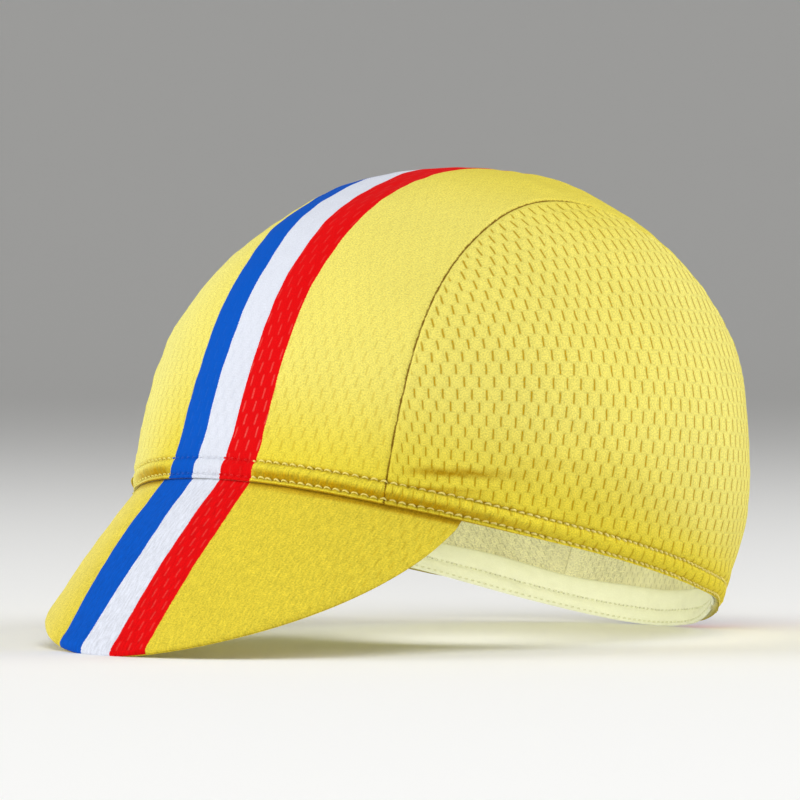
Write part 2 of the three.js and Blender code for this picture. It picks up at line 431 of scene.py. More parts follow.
@dataclass
class Mesher:
    """Collects points, faces and values at the points, and makes one smooth mesh of them."""

    name: str
    points: list[Array] = field(default_factory=list)
    quads: list[Array] = field(default_factory=list)
    triangles: list[Array] = field(default_factory=list)
    fields: dict[str, list[Array]] = field(default_factory=dict)
    count: int = 0

    def add(self, points: Array, values: dict[str, Array]) -> Array:
        """Adds a grid of points.

        Args:
            points: The points, with x, y, z on the last axis.
            values: For each field's name, its values at the points.

        Returns:
            The points' numbers, in the grid's shape.
        """
        shape = points.shape[:-1]
        self.points.append(points.reshape(-1, 3))
        for key, value in values.items():
            self.fields.setdefault(key, []).append(np.broadcast_to(value, shape).ravel())
        numbers = self.count + np.arange(int(np.prod(shape))).reshape(shape)
        self.count += numbers.size
        return numbers

    def skin(self, numbers: Array, flip: bool = False) -> None:
        """Covers a grid with quads.

        Args:
            numbers: The grid's point numbers.
            flip: Turns the faces the other way.
        """
        a, b = numbers[:-1, :-1], numbers[:-1, 1:]
        c, d = numbers[1:, 1:], numbers[1:, :-1]
        order = (a, d, c, b) if flip else (a, b, c, d)
        self.quads.append(np.stack([x.ravel() for x in order], axis=-1))

    def bridge(self, fine: Array, coarse: Array) -> None:
        """Joins an edge to one with half as many segments.

        Args:
            fine: Point numbers along the outer edge.
            coarse: Point numbers along the inner edge.
        """
        start, middle, end = fine[:-2:2], fine[1::2], fine[2::2]
        near, far = coarse[:-1], coarse[1:]
        for face in ((start, near, middle), (middle, near, far), (middle, far, end)):
            self.triangles.append(np.stack(face, axis=-1))

    def shell(self, outer: Array, inner: Array, ring: bool = False) -> None:
        """Closes a fine outer grid and an inner grid with half its rows and columns.

        Args:
            outer: The outer grid's point numbers.
            inner: The inner grid's point numbers.
            ring: Whether the columns join up at the ends.
        """
        if ring:
            outer = np.concatenate([outer, outer[:, :1]], axis=1)
            inner = np.concatenate([inner, inner[:, :1]], axis=1)
        self.skin(outer)
        self.skin(inner, flip=True)
        self.bridge(outer[0], inner[0])
        self.bridge(outer[-1, ::-1], inner[-1, ::-1])
        if not ring:
            self.bridge(outer[:, -1], inner[:, -1])
            self.bridge(outer[::-1, 0], inner[::-1, 0])

    def make(self, finish: bpy.types.Material, mirror: bool = False) -> bpy.types.Object:
        """Makes the object.

        Args:
            finish: The material that it wears.
            mirror: Turns it round in the plane X = 0.

        Returns:
            The object, in the row frame and linked to the scene.
        """
        points = np.concatenate(self.points)
        quads = np.concatenate(self.quads) if self.quads else np.zeros((0, 4), int)
        tris = np.concatenate(self.triangles) if self.triangles else np.zeros((0, 3), int)
        if mirror:
            points = points * np.array([-1, 1, 1])
            quads, tris = quads[:, ::-1], tris[:, ::-1]
        mesh = bpy.data.meshes.new(self.name)
        mesh.vertices.add(len(points))
        mesh.vertices.foreach_set("co", points.astype(np.float32).ravel())
        corners = np.concatenate([quads.ravel(), tris.ravel()]).astype(np.int32)
        mesh.loops.add(len(corners))
        mesh.loops.foreach_set("vertex_index", corners)
        starts = np.concatenate(
            [np.arange(len(quads)) * 4, len(quads) * 4 + np.arange(len(tris)) * 3]
        )
        mesh.polygons.add(len(starts))
        mesh.polygons.foreach_set("loop_start", starts.astype(np.int32))
        mesh.update(calc_edges=True)
        mesh.validate()
        for key, values in self.fields.items():
            layer = mesh.attributes.new(key, "FLOAT", "POINT")
            layer.data.foreach_set("value", np.concatenate(values).astype(np.float32))
        mesh.shade_smooth()
        mesh.materials.append(finish)
        thing = bpy.data.objects.new(self.name, mesh)
        bpy.context.scene.collection.objects.link(thing)
        return thing


# Finishes


def paint(code: int) -> tuple[float, float, float, float]:
    """A screen colour as the shader's linear colour.

    Args:
        code: Red, green and blue as a six-digit hexadecimal number.

    Returns:
        Linear red, green, blue and an alpha of 1.
    """
    shares = [((code >> shift) & 255) / 255 for shift in (16, 8, 0)]
    linear = [s / 12.92 if s <= 0.04045 else ((s + 0.055) / 1.055) ** 2.4 for s in shares]
    return (linear[0], linear[1], linear[2], 1.0)


class Wire:
    """One value in a finish's node tree, with plain arithmetic."""

    def __init__(self, loom: "Loom", socket: bpy.types.NodeSocket) -> None:
        """Keeps the tree and the socket."""
        self.loom, self.socket = loom, socket

    def __add__(self, other: "Wire | float") -> "Wire":
        """The sum."""
        return self.loom.math("ADD", self, other)

    def __sub__(self, other: "Wire | float") -> "Wire":
        """The difference."""
        return self.loom.math("SUBTRACT", self, other)

    def __mul__(self, other: "Wire | float") -> "Wire":
        """The product."""
        return self.loom.math("MULTIPLY", self, other)

    def __truediv__(self, other: "Wire | float") -> "Wire":
        """The quotient."""
        return self.loom.math("DIVIDE", self, other)

    def magnitude(self) -> "Wire":
        """The value without its sign."""
        return self.loom.math("ABSOLUTE", self)

    def cos(self) -> "Wire":
        """The cosine."""
        return self.loom.math("COSINE", self)

    def most(self, other: "Wire | float") -> "Wire":
        """The larger of two values."""
        return self.loom.math("MAXIMUM", self, other)

    def fold(self, pitch: float, shift: float = 0.0) -> "Wire":
        """Signed distance from the nearest of even lines, one of them at a share of the pitch."""
        return (self.loom.math("FRACT", self / pitch + (0.5 - shift)) - 0.5) * pitch

    def swing(self, pitch: float) -> "Wire":
        """An even wave of that pitch, 1 at its crests and -1 between them."""
        return (self * (FULL_TURN / pitch)).cos()

    def rise(self, low: float, high: float) -> "Wire":
        """A smooth step.

        Args:
            low: Where it is 0, which may be above high.
            high: Where it is 1.

        Returns:
            The step's value.
        """
        node = self.loom.node("ShaderNodeMapRange", interpolation_type="SMOOTHSTEP")
        self.loom.put(node.inputs["Value"], self)
        backward = low > high
        node.inputs["From Min"].default_value = high if backward else low
        node.inputs["From Max"].default_value = low if backward else high
        node.inputs["To Min"].default_value = 1.0 if backward else 0.0
        node.inputs["To Max"].default_value = 0.0 if backward else 1.0
        return Wire(self.loom, node.outputs["Result"])


class Loom:
    """A material's node tree, and the few kinds of node that these finishes need."""

    def __init__(self, name: str) -> None:
        """Starts a material.

        Args:
            name: Its name.
        """
        self.material = bpy.data.materials.new(name)
        self.material.use_nodes = True
        self.tree = self.material.node_tree
        self.shader = self.tree.nodes["Principled BSDF"]

    def node(self, kind: str, **settings: object) -> bpy.types.Node:
        """Adds a node.

        Args:
            kind: Its type's name.
            settings: Its properties.

        Returns:
            The node.
        """
        made = self.tree.nodes.new(kind)
        for key, value in settings.items():
            setattr(made, key, value)
        return made

    def put(self, socket: bpy.types.NodeSocket, value: object) -> None:
        """Links a wire to a socket, or sets the socket.

        Args:
            socket: The socket.
            value: A wire, a number or a colour.
        """
        if isinstance(value, Wire):
            self.tree.links.new(value.socket, socket)
        else:
            socket.default_value = value

    def math(self, operation: str, *values: "Wire | float") -> Wire:
        """Arithmetic on wires and numbers.

        Args:
            operation: The node's operation.
            values: What it works on.

        Returns:
            The result.
        """
        node = self.node("ShaderNodeMath", operation=operation)
        for socket, value in zip(node.inputs, values):
            self.put(socket, value)
        return Wire(self, node.outputs[0])

    def read(self, name: str) -> Wire:
        """A value that the mesh holds at its points."""
        node = self.node("ShaderNodeAttribute", attribute_name=name)
        return Wire(self, node.outputs["Fac"])

    def cloth_place(self, across: Wire, along: Wire, layer: Wire) -> Wire:
        """The place on the cloth as a vector.

        Args:
            across: Place across the cloth, in mm.
            along: Place along it, in mm.
            layer: Sets one face or stitch apart from another.

        Returns:
            The vector.
        """
        node = self.node("ShaderNodeCombineXYZ")
        for socket, value in zip(node.inputs, (across, along, layer)):
            self.put(socket, value)
        return Wire(self, node.outputs[0])

    def noise(self, place: Wire, size: float, detail: float = 2.0) -> Wire:
        """Soft noise from 0 to 1, about 0.5 on average.

        Args:
            place: Where it is read, in mm.
            size: The grains' size, in mm.
            detail: How many finer layers it has.

        Returns:
            The noise.
        """
        node = self.node("ShaderNodeTexNoise", noise_dimensions="3D")
        self.put(node.inputs["Vector"], place)
        node.inputs["Scale"].default_value = 1 / size
        node.inputs["Detail"].default_value = detail
        node.inputs["Roughness"].default_value = 0.6
        return Wire(self, node.outputs["Fac"])

    def blend(self, share: "Wire | float", first: object, second: object) -> Wire:
        """A mix of two colours.

        Args:
            share: 0 for the first and 1 for the second.
            first: A colour or a wire.
            second: A colour or a wire.

        Returns:
            The mixed colour.
        """
        node = self.node("ShaderNodeMix", data_type="RGBA")
        self.put(node.inputs[0], share)
        self.put(node.inputs[6], first)
        self.put(node.inputs[7], second)
        return Wire(self, node.outputs[2])

    def tint(self, colour: Wire, value: Wire) -> Wire:
        """A colour made lighter or darker.

        Args:
            colour: The colour.
            value: 1 leaves it as it is.

        Returns:
            The changed colour.
        """
        node = self.node("ShaderNodeHueSaturation")
        self.put(node.inputs["Value"], value)
        self.put(node.inputs["Color"], colour)
        return Wire(self, node.outputs[0])

    def finish(self, colour: Wire, height: Wire, rough: "Wire | float", sheen: float) -> None:
        """Wires the shader.

        Args:
            colour: The base colour.
            height: The relief, in mm.
            rough: The roughness.
            sheen: The weight of the fibres' sheen.
        """
        bump = self.node("ShaderNodeBump")
        bump.inputs["Strength"].default_value = 1.0
        bump.inputs["Distance"].default_value = MM
        self.put(bump.inputs["Height"], height)
        self.put(self.shader.inputs["Base Color"], colour)
        self.put(self.shader.inputs["Roughness"], rough)
        self.tree.links.new(bump.outputs[0], self.shader.inputs["Normal"])
        self.shader.inputs["Sheen Weight"].default_value = sheen
        self.shader.inputs["Sheen Roughness"].default_value = SHEEN_ROUGHNESS
        self.shader.inputs["Specular IOR Level"].default_value = CLOTH_SPECULAR


@dataclass(frozen=True)
class MeshKnit:
    """Printed mesh-knit polyester: rows of staggered slits between soft honeycomb cells."""

    name: str
    column: float
    row: float
    striped: bool = False
    slit_length: float = 0.86
    slit_width: float = 0.62
    stripe_inner: float = 6.5
    stripe_outer: float = 19.5
    yellow: int = 0xEEE686
    shaded_yellow: int = 0xE2CF3A
    slit_yellow: int = 0xB99400
    fold_shade_yellow: int = 0xB58E08
    blue: int = 0x0052BA
    slit_blue: int = 0x5E97E6
    white: int = 0xD6DAE5
    slit_white: int = 0xB9C0D2
    red: int = 0xDA0408
    slit_red: int = 0xEE7468
    inside: int = 0xE6E3B4
    inside_slit_and_shade: int = 0x9C9460
    seam_thread_and_shade_brown: int = 0x7E5600
    brushed: float = 0.0
    print_edge: float = 0.12
    fine_grain: float = 0.52
    soft_grain: float = 2.4
    wide_grain: float = 26.0
    stitch_rows: tuple[tuple[float, float], ...] = ((7.05, 0.0), (2.0, 0.65))

    def cells(self, across: Wire, along: Wire) -> tuple[Wire, Wire, Wire]:
        """The slits and the cells between them.

        Args:
            across: Place across the slits' columns, in mm.
            along: Place along the slits, in mm.

        Returns:
            The slits' mask, the honeycomb's wave, which is 1 at a slit, and the lines that join the
            slits' ends.
        """
        slits, joints = [], []
        length = self.slit_length * self.row
        sway = across.swing(self.column)
        for shift, sign in ((0.0, 1), (0.5, -1)):
            off = across.fold(self.column, shift).magnitude()
            down = along.fold(2 * self.row, shift).magnitude()
            narrow = off.rise(self.slit_width * 0.85, self.slit_width * 0.15)
            slits.append(narrow * down.rise(length * 0.58, length * 0.36))
            zigzag = (along + sway * (0.35 * sign)).fold(2 * self.row, 0.25 + shift)
            joints.append(zigzag.magnitude().rise(0.75, 0.1))
        return slits[0].most(slits[1]), sway * along.swing(2 * self.row), joints[0].most(joints[1])

    def sewing(self, beat: Wire, lift: Wire) -> tuple[Wire, Wire]:
        """What the hem's two rows of stitches do to the cloth.

        Args:
            beat: Place along the rim, counted in stitches.
            lift: Height above the rim as the rows run, in mm.

        Returns:
            The needle's holes, and a wave that is 1 across from a hole and -1 between two.
        """
        holes, waves = [], []
        for row, shift in self.stitch_rows:
            off = lift - row
            near = beat.fold(1.0, shift)
            holes.append(near.magnitude().rise(0.17, 0.05) * off.magnitude().rise(0.50, 0.12))
            waves.append(near.swing(1.0) * off.magnitude().rise(1.5, 0.3))
        return holes[0].most(holes[1]), waves[0] + waves[1]

    def print_colour(self, loom: Loom, line: Wire, slit: Wire, deep: "Wire | float") -> Wire:
        """The outer face's colour: the stripes on yellow, and the slits in each.

        Args:
            loom: The tree.
            line: Signed distance from the stripes' middle line, in mm.
            slit: The slits' mask.
            deep: How much painted shade deepens the yellow.

        Returns:
            The colour.
        """
        # Painted shade: deep mixes in the darker, shaded yellow.
        ground = loom.blend(deep, paint(self.yellow), paint(self.shaded_yellow))
        ground = loom.blend(slit * 0.9, ground, paint(self.slit_yellow))
        if not self.striped:
            return ground
        edge, off = self.print_edge, line.magnitude()
        blue = loom.blend(slit * 0.12, paint(self.blue), paint(self.slit_blue))
        white = loom.blend(slit * 0.4, paint(self.white), paint(self.slit_white))
        red = loom.blend(slit * 0.9, paint(self.red), paint(self.slit_red))
        in_white = off.rise(self.stripe_inner + edge, self.stripe_inner - edge)
        in_band = off.rise(self.stripe_outer + edge, self.stripe_outer - edge)
        band = loom.blend(in_white, loom.blend(line.rise(-edge, edge), blue, red), white)
        return loom.blend(in_band, ground, band)

    def material(self) -> bpy.types.Material:
        """Builds the material.

        Returns:
            The material, for meshes that hold across and along (the place on the cloth, in mm),
            inner (1 on the lining side), seam and line (the distances from the seam and from the
            stripes' middle), open (how far the slits gape), deep (painted light and shade, as a
            paler or deeper yellow), puff (how much the cloth is gathered), beat (the place along
            the rim, in stitches), lift (the height above it) and shade (painted shade where folds
            face down).
        """
        loom = Loom(self.name)
        across, along, inner, seam = map(loom.read, ("across", "along", "inner", "seam"))
        line, gape, deep, puff = map(loom.read, ("line", "open", "deep", "puff"))
        beat, lift, shade = map(loom.read, ("beat", "lift", "shade"))
        place = loom.cloth_place(across, along, inner * LAYER_STEP)
        fine, soft = loom.noise(place, self.fine_grain), loom.noise(place, self.soft_grain, 1.0)
        wide = loom.noise(place, self.wide_grain)
        streak = loom.noise(loom.cloth_place(beat * 2.9, lift * 0.16, inner), 0.80, 1.0)
        wander = (soft - 0.5) * 0.45
        slit, wave, joint = self.cells(across + wander, along + wander * 0.5)
        back = self.cells(across * 2.0, along * 2.1)[0]
        ragged = slit * (fine * 1.9 + 0.05) * gape
        outer = self.print_colour(loom, line + (fine - 0.5) * 0.6, ragged, deep)
        # Painted shade in a deeper yellow where the hem's folds and wrinkles face down, streaked
        # like gathered cloth
        fold_shade = shade * (streak * 1.1 + 0.35)
        on_yellow = line.magnitude().rise(self.stripe_outer, self.stripe_outer + 0.3)
        outer = loom.blend(fold_shade * on_yellow, outer, paint(self.fold_shade_yellow))
        # Painted shade of soft upright folds on the lining, in the darker colour of its slits.
        drape_shade = loom.noise(loom.cloth_place(across, along * 0.08, inner), 9.0, 1.0)
        slit_and_shade_mask = back * gape * 0.40 + (drape_shade - 0.4) * 0.5
        lining = loom.blend(slit_and_shade_mask, paint(self.inside), paint(self.inside_slit_and_shade))
        colour = loom.blend(inner, outer, lining)
        grain = (fine - 0.5) * (on_yellow * 0.65 + 0.35)
        # The honeycomb's hollows and the lines that join the slits are darker, as painted shade
        # beside their bump.
        value = grain + (wide - 0.5) * 0.10 - (wave * 0.05 + joint * 0.03) * gape + 1.0
        # Painted light and shade of the gathered hem's pleats, beside their bump.
        value = value + (streak - 0.5) * puff * 1.3
        if self.brushed:
            lines = loom.noise(loom.cloth_place(across, along * 0.25, inner), 0.8, 1.0)
            value = value + (lines - 0.5) * self.brushed
        colour = loom.tint(colour, value)
        pricks, scallop = self.sewing(beat, lift)
        # The seam's groove is darkened partly as its dark thread and partly as painted shade, and
        # the needle's holes by the yellow hem's rows as painted shade.
        seam_and_prick_shade = (seam + (soft - 0.5) * 0.5 + (fine - 0.5) * 0.4).rise(0.50, 0.14)
        seam_and_prick_shade = seam_and_prick_shade.most(pricks * on_yellow * 0.5)
        colour = loom.blend(seam_and_prick_shade * 0.9, colour, paint(self.seam_thread_and_shade_brown))
        relief = grain * 0.26 + soft * 0.07 - (wave * 0.12 + joint * 0.04) * gape - ragged * 0.06
        relief = relief + streak * puff * 0.55 - pricks * 0.2 - scallop * 0.14
        loom.finish(colour, relief, fine * 0.12 + 0.78, 0.008)
        return loom.material


@dataclass(frozen=True)
class BandKnit:
    """The sweatband's smooth pale knit, pricked by its rows of stitches."""

    name: str = "sweatband_knit"
    pale: int = 0xF8FADC
    shade: int = 0xDCDDB2
    hole: int = 0xA9A56C
    prick_pitch: float = 1.7
    prick_row: float = 5.0
    ribs: tuple[float, float] = (0.9, 0.7)

    def material(self) -> bpy.types.Material:
        """Builds the material.

        Returns:
            The material, for meshes that hold across, the distance round the rim, and along, the
            height up the band.
        """
        loom = Loom(self.name)
        across, along = loom.read("across"), loom.read("along")
        place = loom.cloth_place(across, along, loom.read("inner") * LAYER_STEP)
        fine, soft = loom.noise(place, 0.45), loom.noise(place, 3.0)
        ribs = across.swing(self.ribs[0]) * along.swing(self.ribs[1])
        on_row = (along + (soft - 0.5) * 0.4 - self.prick_row).magnitude().rise(0.34, 0.12)
        pricked = across.fold(self.prick_pitch).magnitude().rise(0.42, 0.16)
        holes = pricked * on_row * (fine * 1.6 - 0.1)
        colour = loom.blend(soft * 0.35, paint(self.pale), paint(self.shade))
        colour = loom.blend(holes * 0.75, colour, paint(self.hole))
        colour = loom.tint(colour, (fine - 0.5) * 0.12 + 1.0)
        relief = fine * 0.07 + ribs * 0.025 + soft * 0.05 - holes * 0.25
        loom.finish(colour, relief, fine * 0.1 + 0.76, 0.25)
        return loom.material


@dataclass(frozen=True)
class Thread:
    """Sewing thread: two plies twisted round each other, printed over where the stripes run."""

    name: str = "sewing_thread"
    light: int = 0xFFF5B4
    dark: int = 0xEBD978
    front_light: int = 0xF6E98A
    front_dark: int = 0xE0CA58
    twist: float = 0.9
    print_over: bool = False

    def material(self) -> bpy.types.Material:
        """Builds the material.

        Returns:
            The material, for meshes that hold across (round the thread) and along it, in mm, and
            line (the distance from the stripes' middle).
        """
        loom = Loom(self.name)
        across, along = loom.read("across"), loom.read("along")
        twist = (along * (FULL_TURN / self.twist) + across * 2.0).cos()
        grain = loom.noise(loom.cloth_place(across, along, loom.read("inner")), 0.3)
        ply = twist * 0.25 + 0.3
        colour = loom.blend(ply, paint(self.light), paint(self.dark))
        if self.print_over:
            line, knit = loom.read("line"), MeshKnit("", 1, 1, striped=True)
            front = loom.blend(ply, paint(self.front_light), paint(self.front_dark))
            colour = loom.blend(line.rise(50, 160), front, colour)
            printed = knit.print_colour(loom, line, line * 0.0, 0.3)
            outside = line.rise(knit.stripe_outer + 0.2, knit.stripe_outer - 0.2)
            colour = loom.blend(outside, colour, printed)
        colour = loom.tint(colour, (grain - 0.5) * 0.2 + 1.0)
        loom.finish(colour, twist * 0.04 + grain * 0.03, grain * 0.1 + 0.55, 0.1)
        return loom.material


# Sewing


def dress(piece: bpy.types.Object, node: str) -> None:
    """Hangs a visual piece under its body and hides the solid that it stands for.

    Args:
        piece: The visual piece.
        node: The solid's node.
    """
    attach(piece, BODY)
    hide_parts(node)


@dataclass(frozen=True)
class Fold:
    """One soft fold above the hem, behind the front seam."""

    rise: float
    height: float
    spread: float
    back: float
    length: float

    def relief(self, height: Array, back: Array) -> Array:
        """The fold's relief at heights above the rim and distances behind the seam, in mm."""
        climbing = self.rise * bell(height, self.height, self.spread)
        return climbing * bell(back, self.back, self.length)


@dataclass(frozen=True)
class Wrinkles:
    """The folds on one side: how they climb towards the back, and where they start."""

    climb: float
    starts: tuple[float, float]
    folds: tuple[Fold, ...]


WRINKLES = {
    Side.LEFT: Wrinkles(
        climb=0.165,
        starts=(0.5, 5.0),
        folds=(
            Fold(1.15, 12.7, 2.2, 18, 13),
            Fold(0.60, 7.0, 1.6, 16, 12),
            Fold(0.35, 16.9, 2.4, 38, 15),
            Fold(-0.40, 9.7, 1.5, 17, 13),
        ),
    ),
    Side.RIGHT: Wrinkles(
        climb=-0.08,
        starts=(1.0, 7.0),
        folds=(Fold(0.6, 17.0, 2.6, 34, 22), Fold(0.4, 11.4, 1.9, 22, 20)),
    ),
}


@dataclass(frozen=True)
class Hem:
    """The crown's edge: cloth turned up and sewn down with two rows of stitches."""

    form: CapForm = CapForm()
    lower_row: float = 2.0
    upper_row: float = 7.05
    pitch: float = 2.9
    calm_left: tuple[float, float] = (80, 135)
    calm_right: tuple[float, float] = (32, 62)
    print_edge: tuple[float, float] = (18.5, 23)
    lowest: float = 0.7
    back_rise: float = 1.0
    back: tuple[float, float] = (165, 225)
    corner_rise: float = 1.4
    corner: tuple[float, float] = (229, 17)
    sway: float = 38.0
    wrinkle_shade: float = 1.9
    fold: Profile = Profile(
        (0.6, 1.0, 1.5, 2.0, 2.6, 4.5, 6.2, 7.05, 7.9, 9.2, 13.5),
        (-0.30, 0.55, 0.45, -0.30, 0.35, 1.55, 1.05, -0.40, 0.35, 0.45, 0),
    )

    def calm(self, around: Array) -> Array:
        """How flat the hem lies: 0 over the peak's left half, and 1 behind and right of it."""
        left, right = step(around, *self.calm_left), step(-around, *self.calm_right)
        return np.where(around > 0, left, right)

    def lift(self, around: Array, up: Array) -> Array:
        """The height above the rim as the stitch rows run, a little lower behind the peak."""
        raised = 0.5 * self.calm(around) - (self.edge(around) - self.lowest)
        return up + raised - 0.03 * ripple(around, 0 * around, self.sway, 3)

    def printed(self, around: Array) -> Array:
        """1 under the stripes, where the hem is pressed flat, and 0 beside them."""
        return 1 - step(np.abs(around), *self.print_edge)

    def edge(self, around: Array) -> Array:
        """The height of the hem's own edge above the rim's line, in mm."""
        back = self.back_rise * step(np.abs(around), *self.back)
        return self.lowest + back + self.corner_rise * bell(around, *self.corner)

    def stitch_pitch(self) -> float:
        """The pitch that puts a whole number of stitches round the rim."""
        girth = 2 * self.form.half_girth()
        return girth / round(girth / self.pitch)

    def relief(self, around: Array, up: Array, seed: int) -> Array:
        """How far the cloth stands out from the plain crown near the rim.

        Args:
            around: Distance along the rim, in mm.
            up: Height above the rim, in mm.
            seed: Picks the side's own small folds.

        Returns:
            The relief, in mm.
        """
        calm, lift = self.calm(around), self.lift(around, up)
        puff = 0.30 * ripple(around, 0.1 * up, 4.4, 11) + 0.30 * ripple(around, 0.1 * up, 2.3, 12)
        far_side = step(-around, 22, 50) * (1 - step(-around, 150, 190))
        flat = (1 - 0.7 * self.printed(around)) * (1 - 0.35 * far_side)
        out = self.fold(lift) * (1 - 0.40 * calm * bell(lift, 4.8, 2.6)) * flat
        out += 0.30 * puff * bell(up, 4.6, 2.0) * (1 - 0.75 * calm)
        out += 0.05 * ripple(around, 0 * around, self.sway, 3) * bell(up, 10.5, 3.0)
        small = 0.06 * ripple(around, up * 1.6, 9.0, 21 + seed)
        out += small * (1 - step(up, 9, 17)) * (1 - 0.6 * calm)
        return out * (1 - step(up, 13, 18))

    def shade(self, around: Array, up: Array, side: Side | None) -> Array:
        """Painted shade, as a deeper colour, where the folds face down.

        Args:
            around: Distance along the rim, in mm.
            up: Height above the rim, in mm.
            side: The side of a side panel, or None.

        Returns:
            Shares from 0 to 1.
        """
        move, total = 0.2, 0.0
        for sign in (1, -1):
            height = up + sign * move
            total = total + sign * self.relief(around, height, 0) * (1 - 0.6 * step(up, 6.5, 8))
            if side is not None:
                folds = self.wrinkles(np.abs(around), height, side)
                total = total + sign * self.wrinkle_shade * folds
        # Painted shade over the loose front hem, below its upper row.
        total = total + 0.5 * move * (1 - step(up, 6.5, 7.5)) * (1 - self.calm(around))
        return np.clip(total / (2 * move), 0, 1) * (1 - 0.8 * self.calm(around))

    def wrinkles(self, around: Array, up: Array, side: Side) -> Array:
        """The soft folds that lie along the hem behind the front seam.

        Args:
            around: Distance along the rim from its front, positive towards this side.
            up: Height above the rim, in mm.
            side: The wearer's side.

        Returns:
            The relief, in mm.
        """
        back = around - float(self.form.around(self.form.seam_turns(np.array([0.05]))[0])[0])
        kind = WRINKLES[side]
        total = sum(fold.relief(up - kind.climb * back, back) for fold in kind.folds)
        return total * step(back, *kind.starts)


@dataclass
class Seam:
    """The seam between the centre panel and a side panel."""

    form: CapForm = field(default_factory=CapForm)
    depth: float = 0.45
    width: float = 0.50
    swell: float = 0.22
    knuckle: float = 0.55
    allowance: float = 5.5
    line: Array = field(init=False)
    run: Array = field(init=False)

    def __post_init__(self) -> None:
        """Works out the seam's line on the crown."""
        top = self.form.seam_top()
        climbs = top * (1 - np.linspace(1, 0.02, 420) ** 2)
        front, back, _ = self.form.seam_turns(climbs)
        turns = np.concatenate([front, back[::-1]])
        rows = np.concatenate([climbs, climbs[::-1]])
        self.line = self.form.crown(turns, rows)
        self.run = run_length(self.line)

    def nearest(self, points: Array) -> tuple[Array, Array]:
        """How far points are from the seam.

        Args:
            points: Points of the crown. The far side's count as their mirror images.

        Returns:
            The distance to the seam and the place along it, in mm.
        """
        near_side = points.reshape(-1, 3).copy()
        near_side[:, 0] = np.abs(near_side[:, 0])
        far, place = np.empty(len(near_side)), np.empty(len(near_side))
        size = (self.line**2).sum(1)
        for first in range(0, len(near_side), 4000):
            some = slice(first, first + 4000)
            best = (size[None, :] - 2 * near_side[some] @ self.line.T).argmin(1)
            far[some] = np.linalg.norm(near_side[some] - self.line[best], axis=1)
            place[some] = self.run[best]
        return far.reshape(points.shape[:-1]), place.reshape(points.shape[:-1])

    def relief(self, far: Array, place: Array, up: Array) -> Array:
        """The groove at the seam and the swell of the cloth beside it.

        Args:
            far: Distance from the seam, in mm.
            place: Place along the seam, in mm.
            up: Height above the rim, in mm.

        Returns:
            The relief, in mm.
        """
        tug = 1 + 0.3 * ripple(place, 0 * place, 2.7, 31) + 0.3 * ripple(place, 0 * place, 11, 32)
        groove = -self.depth * np.exp(-((far / self.width) ** 2))
        swell = self.swell * tug * bell(far, 1.5, 0.9)
        knuckle = self.knuckle * bell(up, 1.3, 1.0) * bell(far, 0, 2.0)
        return groove + swell + knuckle

    def inner_relief(self, far: Array) -> Array:
        """The seam's turned-in edges on the inner face, in mm inwards."""
        return 0.7 * (1 - step(far, self.allowance - 0.7, self.allowance + 0.3))


